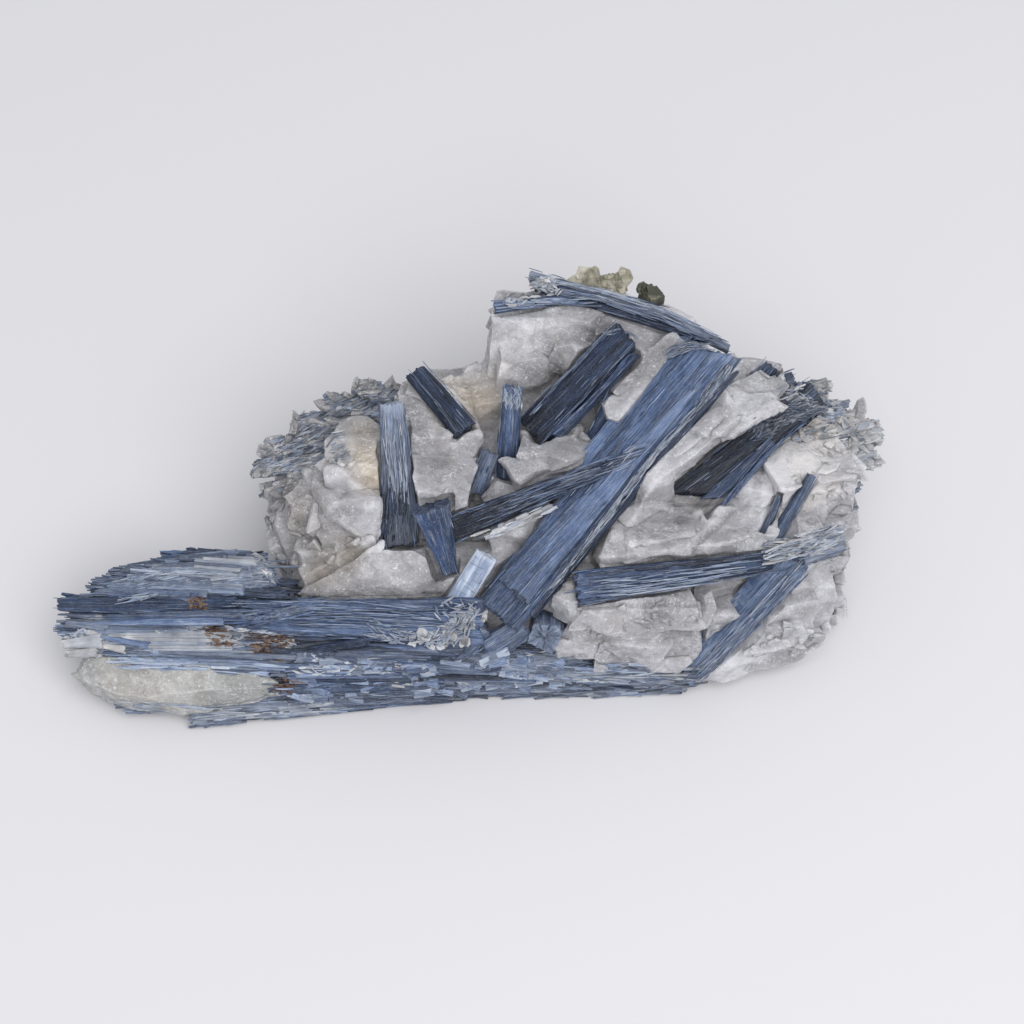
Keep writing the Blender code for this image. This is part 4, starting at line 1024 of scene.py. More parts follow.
# each blade's seed and its crystals: root, tip, width, thickness, facing, taper, tone, pale, fringe
BLADES = {
    "forked_blade": (31, [
        MAIN,
        beside(MAIN, (24, 60.5), (5.0, 5.4), -0.7, 5.0, 2.6, tone=(0.9, 0.66), pale=0.15, cut=(0, -2.0)),
        beside(MAIN, (5, 53), (-0.2, -2.2), 1.75, 8.0, 1.6, taper=0.16, tone=(0.5, 0.85), pale=0.2),
        beside(MAIN, (4, 59), (-4.8, -5.0), -0.4, 1.5, 2.6, tone=0.25),
        Arm((-11.6, -10.4, 29.2), (19.0, -0.8, 37.3), 5.4, 3.6, (-0.1, -0.62, 0.78), 0.5, (0.0, 0.4), 0.0,
            (1.0, 0.4)),
    ]),
    "upper_blade": (32, [UPPER, beside(UPPER, (3, 24), (-4.0, -3.6), -0.6, 1.6, 2.6, tone=0.36)]),
    "back_blade": (33, [
        Arm((3.0, 31.4, 48.6), (27.4, 23.8, 47.4), 2.0, 3.6, (0.0, -0.3, 0.95), 1.0, (0.6, 0.5), 0.75,
            (0.5, 0.8)),
        Arm((26.0, 24.3, 47.3), (38.8, 17.6, 45.2), 2.2, 3.2, (0.0, -0.3, 0.95), 0.7, 0.5, 0.6, (0.5, 0.8)),
        Arm((4.0, 30.6, 46.6), (36.0, 19.4, 45.2), 2.2, 2.4, (0.0, -0.3, 0.95), 0.7, 0.25, 0.1, (0.5, 0.8)),
    ]),
    "back_splinter": (34, [
        Arm((-3.4, 25.6, 46.8), (14.6, 28.2, 47.0), 2.2, 2.8, (0, -0.4, 0.92), 0.6, 0.5, 0.2)
    ]),
    "small_upright_blade": (35, [
        Arm((-1.0, 0.8, 28.6), (0.2, 12.2, 42.0), 4.2, 2.4, (-0.2, -0.75, 0.62), 1.0, (0.36, 0.66), 0.1)
    ]),
    "left_upright_blade": (36, [
        Arm((-19.6, -12.4, 27.0), (-21.4, 8.6, 42.6), 7.0, 3.0, (0.1, -0.6, 0.8), 0.7, (0.1, 0.85), 0.52)
    ]),
    "fan_stub": (37, [
        Arm((-10.9, -16.9, 25.4), (-14.4, -8.2, 35.0), 2.7, 3.2, (0, -0.75, 0.66), 2.8, 0.5, 0.05, (0.1, 0.1))
    ]),
    "back_left_blade": (38, [
        Arm((-17.6, 16.2, 41.0), (-8, 5.4, 37.2), 4.6, 2.6, (0.5, 0.1, 0.86), 1.25, 0.2, 0.02)
    ]),
    "right_blade": (39, [
        Arm((31.4, -3.4, 29.8), (55.4, 15.0, 35.4), 6.2, 3.0, (-0.1, -0.4, 0.91), 1.1, (0.0, 0.15), 0.0,
            (0.3, 0.5), cut=(7.0, 0.0)),
        Arm((35.6, -4.0, 29.4), (47.0, 5.6, 33.6), 3.2, 3.4, (0.1, -0.5, 0.86), 0.8, 0.4, 0.05, (0.3, 0.6),
            cut=(3.6, 0.0)),
    ]),
    "back_right_blade": (40, [
        Arm((41.6, 13.6, 34.4), (47.2, 19.4, 38.0), 3.2, 2.6, (-0.5, -0.3, 0.8), 0.9, 0.3, 0.1),
        Arm((45.0, 15.6, 35.0), (51.4, 17.8, 35.8), 3.6, 2.2, (0.1, -0.2, 0.95), 0.9, 0.3, 0.25),
    ]),
    "crossed_blades": (41, [
        Arm((11.0, -21.2, 27.8), (52.0, -15.4, 29.0), 6.6, 3.4, (0.0, -0.6, 0.8), 0.5, (0.5, 0.3), 0.1,
            (0.5, 0.5)),
        Arm((31.6, -27.6, 4.8), (50.4, -16.2, 29.4), 5.0, 4.8, (0.62, -0.62, 0.48), 1.35, (0.82, 0.66), 0.3,
            ridge=(-0.1, 2.0)),
        Arm((46.0, -15.6, 27.4), (59.0, -9.8, 26.0), 5.0, 4.6, (0.1, -0.5, 0.86), 1.1, 0.6, 0.75),
    ]),
    "right_splinters": (42, [
        Arm((46.6, -12.0, 28.8), (53.6, -1.6, 34.4), 2.4, 2.2, (0.4, -0.5, 0.77), 0.7, 0.5, 0.25),
        Arm((44.8, -11.4, 28.8), (47.8, -4.8, 32.4), 1.6, 2.4, (-0.3, -0.4, 0.86), 0.6, 0.5, 0.3),
    ]),
    "hidden_blade": (43, [
        Arm((13.6, 4.6, 31.0), (18.6, 11.8, 39.0), 3.4, 2.4, (-0.3, -0.5, 0.8), 1.0, 0.35, 0.0)
    ]),
    "crevice_blade": (44, [
        Arm((-6.6, -2.0, 28.0), (-3.6, 3.6, 33.6), 3.4, 2.0, (-0.3, -0.6, 0.74), 1, 0.5, 0.4)
    ]),
    "hex_stub": (45, [
        Arm((6.0, -22.0, 16.4), (5.8, -27.6, 21.4), 6.0, 5.4, (0.35, 0.6, 0.7), 0.95, 0.75, 0.35)
    ]),
    "cap_blade": (46, [
        Arm((-4.8, -25.4, 22.8), (-52.0, -22.4, 20.2), 9.4, 3.4, (0, -0.62, 0.78), 0.56, 0.6, 0.15,
            (0.3, 0.3))
    ]),
    "chip_left": (47, [
        Arm((-11.4, -29.4, 17.8), (-4.4, -25.8, 21.4), 4.6, 3.2, (0.1, -0.8, 0.6), 1.0, 0.55, 0.3)
    ]),
    "chip_mid": (48, [
        Arm((-4.8, -28.9, 18.6), (2.6, -25, 21.6), 5.6, 3.4, (-0.1, -0.75, 0.65), 0.8, 0.55, 0.3)
    ]),
    "sheaf_blade": (49, [
        Arm((-49.0, -20.4, 19.4), (-82.6, -18.0, 15.6), 4.4, 2.6, (0.0, -0.35, 0.93), 0.6, 0.36, 0.06)
    ]),
    "rear_blade_high": (51, rear((21, 32.5, 29), (52, 22.0, 16), 7.0, BACK)),
    "rear_blade_low": (52, rear((-24, 24.0, 9), (17, 34.0, 20), 8.0, BACK)),
    "rear_blade_left": (53, rear((-41, 8.0, 16), (-16, 23.0, 26), 6.0, (-0.4, 0.8, 0.35))),
}
GLASSY_ARM = Arm((-10.6, -22.6, 22.2), (-4.4, -15.8, 30.4), 4.6, 2.2, (-0.15, -0.7, 0.7), 1.0, 0.5, 0.8)


STROKE_GAP = 0.5  # how far (mm) a stroke may leave the solids
STROKE_MOST = 0.34  # how long (mm) a pixel's length of a stroke may be. Past that it crosses a step.


def strokes(bundle, line, count, spread, length, width, tone, pale, lift=0.2, yaw=0.05, thick=(0.15, 0.35)):
    """Laths along a line of view places, spread to both sides of it, on what is seen there."""
    rng = bundle.rng
    line = np.array(line, float)
    at = np.concatenate([[0], np.cumsum(np.linalg.norm(np.diff(line, axis=0), axis=1))])

    def on(t):
        return np.array([np.interp(t, at, line[:, 0]), np.interp(t, at, line[:, 1])])

    ends = []
    for _ in range(count):
        t, span, turn = rng.uniform(0, at[-1]), rng.uniform(*length), rng.normal(0, yaw)
        way = unit(on(t + 2) - on(t - 2))
        way = np.array((way[0] - turn * way[1], way[1] + turn * way[0]))
        middle = on(t) + np.array((-way[1], way[0])) * rng.uniform(-spread, spread)
        a, b = seen(*(middle - way * span / 2)), seen(*(middle + way * span / 2))
        short = np.linalg.norm(b - a) < span * STROKE_MOST
        if short and how_far(WHOLE, (a, b, (a + b) / 2)).max() < STROKE_GAP:
            ends.append((a, b))
    n = len(ends)
    up = unit(FRONT_UP + rng.normal(0, 0.22, (n, 3)))
    raise_ = up * rng.uniform(-0.1, lift, (n, 1))
    ends = np.array(ends)
    bundle.laths(ends[:, 0] + raise_, ends[:, 1] + raise_, up, rng.uniform(*width, n), rng.uniform(*thick, n),
                 rng.uniform(*tone, n), rng.uniform(*pale, n), bend=rng.uniform(0, lift, n),
                 ends=(rng.uniform(0.2, 0.9, n), rng.uniform(0.2, 0.9, n)))


# rows for strokes(): view places of a line, count, spread and length (px), width (mm), tone, pale, and
# for some how far they are lifted (mm) and how much they turn
STROKES = {
    "forked_blade": [
        ([(735, 358), (700, 407), (654, 455), (610, 515), (554, 587)], 260, 3.5, (6, 20), (0.08, 0.18),
         (0.6, 0.95), (0.6, 1.2)),
        ([(668, 354), (690, 344), (722, 344), (736, 354), (722, 378), (704, 400)], 240, 6.0, (6, 18),
         (0.08, 0.2), (0.4, 0.9), (0.4, 1.1), 0.4, 0.12),
        ([(500, 508), (540, 492), (600, 470), (632, 459)], 110, 9.0, (16, 50), (0.1, 0.3), (0.1, 0.7),
         (0.0, 0.9)),
        ([(612, 470), (634, 452), (648, 446)], 40, 7.0, (8, 22), (0.08, 0.25), (0.5, 0.9), (0.3, 1.1),
         0.2, 0.12),
        ([(456, 527), (480, 518), (510, 506)], 30, 9.0, (18, 40), (0.2, 0.6), (0.0, 0.25), (0.0, 0.2)),
        ([(478, 538), (510, 526), (550, 507)], 60, 4.5, (8, 24), (0.3, 0.9), (0.7, 1.0), (0.9, 1.3)),
    ],
    "upper_blade": [
        ([(607, 332), (560, 382), (529, 416)], 26, 1.5, (10, 30), (0.15, 0.3), (0.4, 0.7), (0.3, 0.7)),
        ([(606, 334), (622, 330), (636, 338)], 40, 2.0, (4, 9), (0.1, 0.2), (0.4, 0.8), (0.3, 0.9), 0.1),
        ([(638, 348), (600, 394), (562, 426)], 24, 3.0, (15, 40), (0.3, 0.7), (0.35, 0.6), (0.0, 0.3)),
    ],
    "back_blade": [
        ([(525, 277), (600, 290), (660, 309), (730, 341)], 80, 2.0, (10, 40), (0.1, 0.2), (0.6, 0.9),
         (0.5, 1.1), 0.1),
        ([(525, 286), (600, 299), (660, 318), (724, 346)], 70, 3.0, (10, 40), (0.1, 0.2), (0.5, 0.9),
         (0.3, 1.0), 0.1),
        ([(508, 302), (526, 290), (556, 285)], 200, 9.0, (3, 8), (0.3, 0.8), (0.6, 1.0), (0.9, 1.35),
         0.3, 0.5),
    ],
    "back_splinter": [
        ([(498, 306), (540, 303), (590, 302)], 50, 4.0, (10, 34), (0.2, 0.5), (0.5, 0.9), (0.3, 1.0)),
    ],
    "small_upright_blade": [
        ([(512, 390), (513, 406)], 90, 9.0, (4, 10), (0.1, 0.3), (0.6, 1.0), (0.6, 1.1), 0.2, 0.4),
    ],
    "left_upright_blade": [
        ([(393, 405), (395, 450), (400, 500)], 90, 10.0, (10, 36), (0.08, 0.25), (0.6, 0.95), (0.6, 1.15)),
        ([(398, 490), (396, 515), (392, 544)], 34, 13.0, (14, 34), (0.3, 0.8), (0.0, 0.3), (0.0, 0.3)),
    ],
    "right_blade": [
        ([(756, 432), (782, 412), (832, 400)], 500, 12.0, (4, 15), (0.12, 0.5), (0.0, 0.35), (0.4, 1.1),
         0.3, 0.3),
        ([(780, 392), (810, 390), (840, 402)], 200, 8.0, (4, 12), (0.15, 0.5), (0.2, 0.7), (0.8, 1.35),
         0.25, 0.4),
        ([(730, 500), (752, 470), (775, 445)], 26, 4.0, (14, 40), (0.2, 0.6), (0.4, 0.7), (0.1, 0.5)),
    ],
    "crossed_blades": [
        ([(770, 552), (810, 544), (846, 531)], 300, 11.0, (6, 24), (0.1, 0.5), (0.6, 1.1), (0.7, 1.3),
         0.4, 0.16),
        ([(580, 592), (650, 584), (740, 570)], 110, 9.0, (12, 50), (0.08, 0.25), (0.6, 0.9), (0.3, 0.9)),
        ([(578, 576), (660, 566), (770, 556)], 30, 2.0, (20, 60), (0.2, 0.5), (0.0, 0.3), (0.0, 0.4)),
        ([(802, 568), (762, 610), (700, 672)], 120, 7.0, (10, 36), (0.08, 0.3), (0.5, 0.9), (0.3, 0.9)),
    ],
}


CAP_BREAK = 11.0  # how far back the left end of the cap blade is broken into fibres, in mm
FIBRES_LEAST, FIBRES_MORE = 14, 0.32  # loose fibres on a blade: at least, and more per mm2 of it


def build_blades():
    for name, (seed, arms) in BLADES.items():
        bundle = Bundle(seed)
        for arm in arms:
            jag = min(1.6, 0.35 + arm.width * 0.14)
            bundle.crystal(arm, jag=(jag, CAP_BREAK) if name == "cap_blade" else jag)
            size = arm.width * length_of(arm)
            bundle.splinters(arm, FIBRES_LEAST + size * FIBRES_MORE * sum(arm.fringe))
        for stroke in STROKES.get(name, ()):
            strokes(bundle, *stroke)
        bundle.build(name + "_crystal", KYANITE, "kyanite", name)
    bundle = Bundle(50)
    bundle.crystal(GLASSY_ARM, relief=0.35, jag=0.4)
    bundle.build("glassy_blade_crystal", GLASSY, "kyanite", "glassy_blade")


# ================================================================ the sheaf and the ragged edges
# the sheaf's fibres run from these roots to these tips, in mm
SHEAF_TIPS = [
    (-62.0, -9.6, 18.2), (-69.0, -11.8, 17.8), (-76.0, -14.6, 16.4), (-82.4, -17.6, 14.6),
    (-81.6, -20.6, 13.0), (-79.6, -23.6, 12.0), (-77.0, -27.0, 10.4),
]
SHEAF_ROOTS = [
    (-45.0, -11.0, 19.0), (-43.0, -14.0, 19.8), (-40.0, -18.0, 19.6), (-33.0, -21.0, 18.0),
    (-26.0, -24.0, 16.6), (-22.0, -26.6, 15.2), (-20.0, -29.0, 12.6),
]


def along_line(points, share):
    """Places at shares of the way along a line of points, counted in points."""
    at = share * (len(points) - 1)
    return np.stack([np.interp(at, range(len(points)), column) for column in np.transpose(points)], -1)


SAMPLE_LOWEST, SAMPLE_STEEPEST = 0.4, -0.5  # height in mm, and how far up the normal looks


def sampled(names, count, rng):
    """Points on CAD nodes, spread evenly, with the faces' normals: not near the floor or underneath."""
    corners = []
    for name in names:
        p, f = cad_points(name)
        corners.append(p[f])
    tri = np.concatenate(corners)
    cross = np.cross(tri[:, 1] - tri[:, 0], tri[:, 2] - tri[:, 0])
    area = np.linalg.norm(cross, axis=1)
    normal = unit(cross)
    weight = area * (normal[:, 2] > SAMPLE_STEEPEST) * (tri[:, :, 2].mean(1) > SAMPLE_LOWEST)
    pick = rng.choice(len(tri), count, p=weight / weight.sum())
    r = rng.random((count, 2))
    flip = r.sum(1) > 1
    r[flip] = 1 - r[flip]
    t = tri[pick]
    point = t[:, 0] + (t[:, 1] - t[:, 0]) * r[:, :1] + (t[:, 2] - t[:, 0]) * r[:, 1:]
    return point, normal[pick]


def sheaf_grain(points):
    """The way that the sheaf's fibres run at points: from the roots to the tips."""
    share = np.linspace(0, 1, 41)
    roots, tips = along_line(SHEAF_ROOTS, share), along_line(SHEAF_TIPS, share)
    best = np.full(len(points), np.inf)
    grain = np.tile((-1.0, 0.0, 0.0), (len(points), 1))
    for root, tip in zip(roots, tips):
        d = unit(tip - root)
        off = points - root
        gap = np.linalg.norm(off - d * (off @ d)[:, None], axis=1)
        near = gap < best
        best[near] = gap[near]
        grain[near] = d
    return grain


LATH_THICKNESS = (0.15, 0.4)  # from, to, in mm
ACROSS_MOST = 0.8  # how square to a face its grain may stand and still carry laths
SHORTENINGS = 3  # how often a lath that sticks out is halved, before it is left out


def strays(a, b):
    """How far laths' ends lie from the solids."""
    return np.maximum(how_far(WHOLE, a, 3.0), how_far(WHOLE, b, 3.0))


def thatch(bundle, nodes, count, grain, length, width, pale, tone, lift=0.12, yaw=0.06, reach=0.9):
    """Laths laid along the grain over CAD nodes. No end lies further than reach (mm) from the solids."""
    rng = bundle.rng
    where, normal = sampled(nodes, count, rng)
    way = grain(where)
    keep = np.abs((normal * way).sum(1)) < ACROSS_MOST
    where, normal, way = where[keep], normal[keep], way[keep]
    n = len(where)
    span = rng.lognormal(math.log(length), 0.45, n).clip(length * 0.3, length * 2.4)
    wide = rng.lognormal(math.log(width), 0.45, n).clip(width * 0.35, width * 2.8)
    way = unit(way + rng.normal(0, yaw, (n, 3)))
    way = unit(way - normal * (normal * way).sum(1)[:, None] * 0.9)
    middle = where + normal * rng.uniform(-0.25, lift, n)[:, None]
    for _ in range(SHORTENINGS):
        span = np.where(strays(*both_ends(middle, way, span)) > reach, span * 0.5, span)
    a, b = both_ends(middle, way, span)
    good = strays(a, b) <= reach
    bundle.laths(
        a[good], b[good], unit(normal + rng.normal(0, 0.2, (n, 3)))[good], wide[good],
        rng.uniform(*LATH_THICKNESS, n)[good], (tone(where) + rng.normal(0, 0.13, n))[good].clip(0, 1),
        (pale(where) + rng.normal(0, 0.14, n))[good],
        ends=(rng.uniform(0.3, 1, good.sum()), rng.uniform(0.2, 0.9, good.sum())),
    )


CORE_LONGEST, CORE_SINK, CORE_MOST = 0.7, 0.1, 30000  # edges and sinking in mm, and triangles


def core(name, node, grain, pale, tone=0.4):
    """The body under the laths: a CAD node with the same grain cut into it."""
    mesh = subdivided(name, node, CORE_LONGEST)
    kept = {}

    def heights(points, normals):
        way = grain(points)
        side = unit(np.cross(normals, way))
        p = (points * side).sum(1)
        u = (points * way).sum(1)
        kept["grain"] = np.stack([u, p, p * 0], 1)
        b1, b2 = strands(p, u, 1.6, 12, 5)[0], strands(p, u, 0.7, 7, 8)[0]
        kept["tone"] = tone + 0.5 * (0.5 * b1 + 0.5 * b2 - 0.5)
        return -CORE_SINK - 0.35 * b1 - 0.2 * b2

    points = raised(mesh, heights, CORE_SHARP)
    give(mesh, tone=kept["tone"], pale=pale(points), rust=rust_at(points), grain=kept["grain"])
    return thinned(placed(name, mesh, KYANITE, "pale_kyanite", node), CORE_MOST, CORE_SHARP)


FAN_SHORTEST, FAN_LONGEST = 2, 40  # in mm
FAN_GAP = 1.4  # how far (mm) a fan's blade may leave the solids


def fan(bundle, roots, tips, count, width, tone, pale, lift=0.2, thick=0.8, cut=0.35):
    """Flat blades side by side between two lines of view places, each cut short at random."""
    rng = bundle.rng
    for i in range(count):
        share = (i + rng.uniform(0.1, 0.9)) / count
        r, t = along_line(roots, share), along_line(tips, share)
        s, e = rng.uniform(-0.02, cut), 1 - rng.uniform(-0.01, cut * 0.6)
        a, b = seen(*(r + (t - r) * s)), seen(*(r + (t - r) * e))
        fits = FAN_SHORTEST < np.linalg.norm(b - a) < FAN_LONGEST
        if not fits or how_far(WHOLE, (a, (a + b) / 2, b)).max() > FAN_GAP:
            continue
        up = np.array((rng.normal(0, 0.12), -0.35 + rng.normal(0, 0.15), 0.94))
        raise_ = unit(up) * rng.uniform(-0.3, lift)
        w = width * rng.lognormal(0, 0.3)
        middle = ((a + b) / 2)[None]
        tone_here = tone + patches(middle, SHEAF_TONE)[0]
        pale_here = pale + patches(middle, SHEAF_PALE)[0]
        arm = Arm(a + raise_, b + raise_, w, thick * rng.uniform(0.7, 1.3), up, rng.uniform(0.35, 0.9),
                  tone_here + rng.normal(0, 0.12), pale_here + rng.normal(0, 0.12))
        bundle.crystal(arm, step=0.4, stride=1.4, relief=0.6, jag=min(1.2, w * 0.5), frost=(0.1, 0.15))


# where the sheaf is paler and lighter: view place, reach along X and across it (mm), and by how much
SHEAF_PALE = soft_spots([
    (190, 575, 10.0, 3.4, 0.4), (240, 565, 5.0, 3.0, 0.4), (130, 605, 14.0, 2.2, -0.3),
    (230, 625, 6.0, 2.6, 0.8), (190, 635, 8.0, 2.4, 0.8), (80, 645, 4.0, 3.0, 0.5),
    (110, 643, 2.0, 1.6, 0.5), (125, 620, 6.0, 1.5, 0.2), (180, 655, 12.0, 2.4, 0.22),
    (250, 668, 6.0, 2.0, 0.4), (90, 622, 6.0, 1.6, 0.3), (330, 670, 5.0, 2.5, -0.1),
    (400, 675, 6.0, 2.5, 0.12), (200, 712, 16.0, 2.0, 0.5), (320, 700, 8.0, 2.5, 0.3),
    (350, 640, 9.0, 1.5, -0.2), (450, 660, 6.0, 3.0, 0.2),
])
SHEAF_TONE = soft_spots([
    (130, 605, 14.0, 2.2, 0.0), (190, 575, 10.0, 4.0, 0.06), (230, 625, 8.0, 2.6, 0.25),
    (170, 630, 8.0, 2.4, 0.25), (180, 656, 9.0, 2.4, 0.55), (330, 675, 6.0, 2.5, 0.15),
    (80, 645, 4.0, 3.0, 0.3), (420, 675, 7.0, 2.5, 0.4), (300, 645, 6.0, 1.5, -0.25),
    (200, 712, 16.0, 2.0, 0.15), (270, 590, 5.0, 2.5, -0.2),
])
# rows of flat blades: the views' places of their roots and tips, how many, width (mm), tone, pale,
# lift and thickness (mm)
FANS = [
    ([(250, 556), (268, 572), (262, 590), (235, 600)], [(165, 558), (135, 570), (108, 584), (82, 594)],
     22, 2.0, 0.5, 0.34),
    ([(268, 562), (262, 578), (240, 596)], [(200, 556), (170, 570), (140, 590)], 16, 1.6, 0.55, 0.42, 0.5),
    ([(250, 612), (250, 625), (240, 640), (250, 652)], [(70, 616), (66, 626), (108, 640), (150, 652)],
     24, 1.3, 0.5, 0.35, 0.3),
    ([(300, 655), (300, 668), (270, 676)], [(150, 650), (150, 662), (170, 668)], 16, 1.4, 0.5, 0.28, 0.3),
    ([(420, 660), (440, 672), (460, 684)], [(290, 652), (270, 675), (255, 694)], 26, 1.6, 0.42, 0.2, 0.4),
    ([(470, 662), (520, 678), (560, 684)], [(400, 655), (410, 672), (440, 690)], 16, 1.4, 0.45, 0.35, 0.4),
    ([(320, 704), (360, 704), (300, 716)], [(120, 704), (140, 712), (182, 722)], 12, 1.1, 0.5, 0.5, 0.2),
    ([(470, 648), (478, 654)], [(300, 646), (310, 654)], 9, 1.8, 0.4, 0.3, 0.9, 1.4),
]
# single laths: the view's places of root and tip, width and thickness (mm), tone, pale
SHEAF_LATHS = [
    ((272, 670), (148, 652), 2.8, 1.2, 1.05, 0.2), ((152, 646), (100, 636), 1.8, 1.2, 0.75, 0.2),
    ((106, 640), (62, 644), 3.4, 2.2, 0.8, 1.0), ((100, 652), (64, 654), 2.6, 2.0, 0.8, 1.1),
    ((128, 650), (100, 645), 1.9, 1.6, 1.0, 1.4),
    ((300, 612), (222, 622), 2.4, 1.2, 0.55, 0.4), ((110, 628), (64, 622), 1.6, 1.2, 0.6, 0.6),
    ((290, 596), (236, 604), 2.0, 1.2, 0.35, 0.3), ((300, 585), (262, 578), 2.2, 1.0, 0.25, 0.4),
    ((330, 655), (262, 650), 2.0, 1.0, 0.3, 0.3), ((370, 640), (300, 652), 2.0, 1.4, 0.3, 0.1),
]
SHEAF_STROKES = [
    ([(428, 644), (452, 632), (480, 612)], 150, 11.0, (3, 11), (0.1, 0.4), (0.5, 0.95), (0.6, 1.2), 0.2, 0.5),
    ([(440, 606), (462, 612), (486, 628)], 60, 11.0, (3, 11), (0.1, 0.4), (0.5, 0.95), (0.5, 1.2), 0.2, 0.6),
    ([(370, 628), (400, 638), (440, 640)], 90, 8.0, (4, 14), (0.1, 0.3), (0.5, 0.95), (0.5, 1.1), 0.2, 0.25),
    ([(250, 560), (270, 564), (284, 578)], 180, 11.0, (4, 12), (0.15, 0.7), (0.4, 0.75), (0.8, 1.35),
     0.3, 0.35),
    ([(225, 622), (262, 616), (310, 606)], 60, 7.0, (20, 50), (0.3, 0.8), (0.4, 0.7), (0.1, 0.6), 0.4, 0.1),
    ([(140, 630), (220, 634), (292, 644)], 420, 9.0, (4, 13), (0.1, 0.5), (0.5, 1.0), (0.7, 1.3), 0.2, 0.2),
    ([(64, 644), (84, 642), (106, 646)], 120, 12.0, (4, 12), (0.2, 0.9), (0.5, 0.9), (0.8, 1.3), 0.25, 0.5),
    ([(128, 590), (180, 578), (262, 574)], 420, 12.0, (10, 36), (0.1, 0.4), (0.5, 0.95), (0.4, 1.0),
     0.3, 0.07),
    ([(120, 706), (200, 714), (340, 706)], 200, 7.0, (14, 50), (0.2, 0.7), (0.55, 0.95), (0.75, 1.15),
     0.3, 0.04),
    ([(240, 610), (360, 614), (430, 618)], 160, 14.0, (16, 60), (0.08, 0.2), (0.5, 0.9), (0.1, 0.7),
     0.2, 0.03),
    ([(130, 660), (200, 662), (290, 668)], 90, 8.0, (20, 60), (0.2, 0.8), (0.8, 1.1), (0.2, 0.8), 0.3, 0.04),
    ([(300, 664), (380, 672), (480, 672)], 260, 14.0, (5, 18), (0.2, 0.8), (0.7, 1.1), (0.6, 1.25), 0.3, 0.4),
]
RUBBLE_COUNT = 150  # short broken blades on the sheaf's front foot, in a band between two lines
RUBBLE_X = (290, 400, 480, 560)
RUBBLE_TOP = (652, 655, 655, 660)
RUBBLE_FOOT = (705, 694, 688, 684)
RUBBLE_LENGTH, RUBBLE_WIDTH, RUBBLE_THICKNESS = (1.8, 6.0), (1.0, 3.0), (0.6, 1.2)  # from, to, in mm


def rubble(bundle):
    """Short broken blades that lie roughly along the sheaf, on its front foot."""
    rng = bundle.rng
    for _ in range(RUBBLE_COUNT):
        px = rng.uniform(RUBBLE_X[0], RUBBLE_X[-1])
        top, foot = (np.interp(px, RUBBLE_X, line) for line in (RUBBLE_TOP, RUBBLE_FOOT))
        middle = seen(px, rng.uniform(top, foot))
        turn = rng.normal(math.pi, 0.35)
        span = rng.uniform(*RUBBLE_LENGTH)
        way = unit((math.cos(turn), math.sin(turn) * 0.5, math.sin(turn) * 0.35 + rng.normal(0, 0.15)))
        width, thick = rng.uniform(*RUBBLE_WIDTH), rng.uniform(*RUBBLE_THICKNESS)
        facing = (rng.normal(0, 0.4), -0.7, 0.8)
        arm = Arm(middle - way * span / 2, middle + way * span / 2, width, thick, facing,
                  rng.uniform(0.5, 1.0), rng.uniform(0.4, 0.95), rng.uniform(0.1, 0.7))
        bundle.crystal(arm, step=0.35, stride=0.9, relief=0.7, jag=0.5)


def build_sheaf():
    def pale(points):
        return patches(points, SHEAF_PALE, 0.42) + 0.12 * waves(points, 10, 7) + 0.12 * waves(points, 2.5, 8)

    def tone(points):
        return patches(points, SHEAF_TONE, 0.5)

    core("kyanite_sheaf_core", "kyanite_sheaf", sheaf_grain, pale)
    bundle = Bundle(61)
    thatch(bundle, ["kyanite_sheaf"], 3400, sheaf_grain, 4.4, 0.5, pale, tone, yaw=0.09)
    thatch(bundle, ["kyanite_sheaf"], 1500, sheaf_grain, 8.0, 0.35, pale, tone, lift=0.2)
    bundle.build("kyanite_sheaf_fibres", KYANITE, "pale_kyanite", "kyanite_sheaf")
    bundle = Bundle(62)
    for row in FANS:
        fan(bundle, *row)
    for root, tip, *form in SHEAF_LATHS:
        root, tip = (seen(*end) + FRONT_UP * 0.3 for end in (root, tip))
        bundle.crystal(Arm(root, tip, *form[:2], FRONT_UP, 0.6, *form[2:]), step=0.3, stride=0.8)
    for stroke in SHEAF_STROKES:
        strokes(bundle, *stroke)
    rubble(bundle)
    bundle.build("kyanite_sheaf_blades", KYANITE, "pale_kyanite", "kyanite_sheaf")


# seed, grain, tone, paleness, and the laths' count, length and width (mm)
EDGES = {
    "left_edge_blades": (71, (-0.93, -0.36, -0.1), 0.5, 0.9, 1500, 1.6, 0.6),
    "right_edge_blades": (72, (0.95, 0.3, 0.05), 0.5, 1.15, 1100, 2.2, 0.8),
    "right_flank_blades": (73, (1, 0.2, -0.15), 0.5, 0.9, 400, 3.0, 0.4),
    "foot_layers": (74, (1, 0.02, -0.01), 0.5, 0.7, 1300, 6.0, 0.5),
}
EDGE_STROKES = {
    "left_edge_blades": [
        ([(268, 466), (300, 454), (340, 438)], 420, 23.0, (5, 16), (0.12, 0.5), (0.25, 0.8), (0.7, 1.3),
         0.2, 0.2),
        ([(300, 425), (340, 408), (392, 388)], 240, 12.0, (6, 22), (0.12, 0.5), (0.15, 0.6), (0.5, 1.15),
         0.25, 0.16),
    ],
    "right_edge_blades": [
        ([(800, 392), (845, 405), (872, 440)], 160, 14.0, (8, 22), (0.3, 1.2), (0.1, 0.8), (0.9, 1.4),
         0.15, 0.2),
    ],
    "foot_layers": [
        ([(470, 672), (560, 672), (690, 676)], 160, 9.0, (12, 60), (0.2, 0.9), (0.3, 1.0), (0.4, 1.1),
         0.3, 0.05),
    ],
}
CORE_PALER = 0.3  # than the laths on it


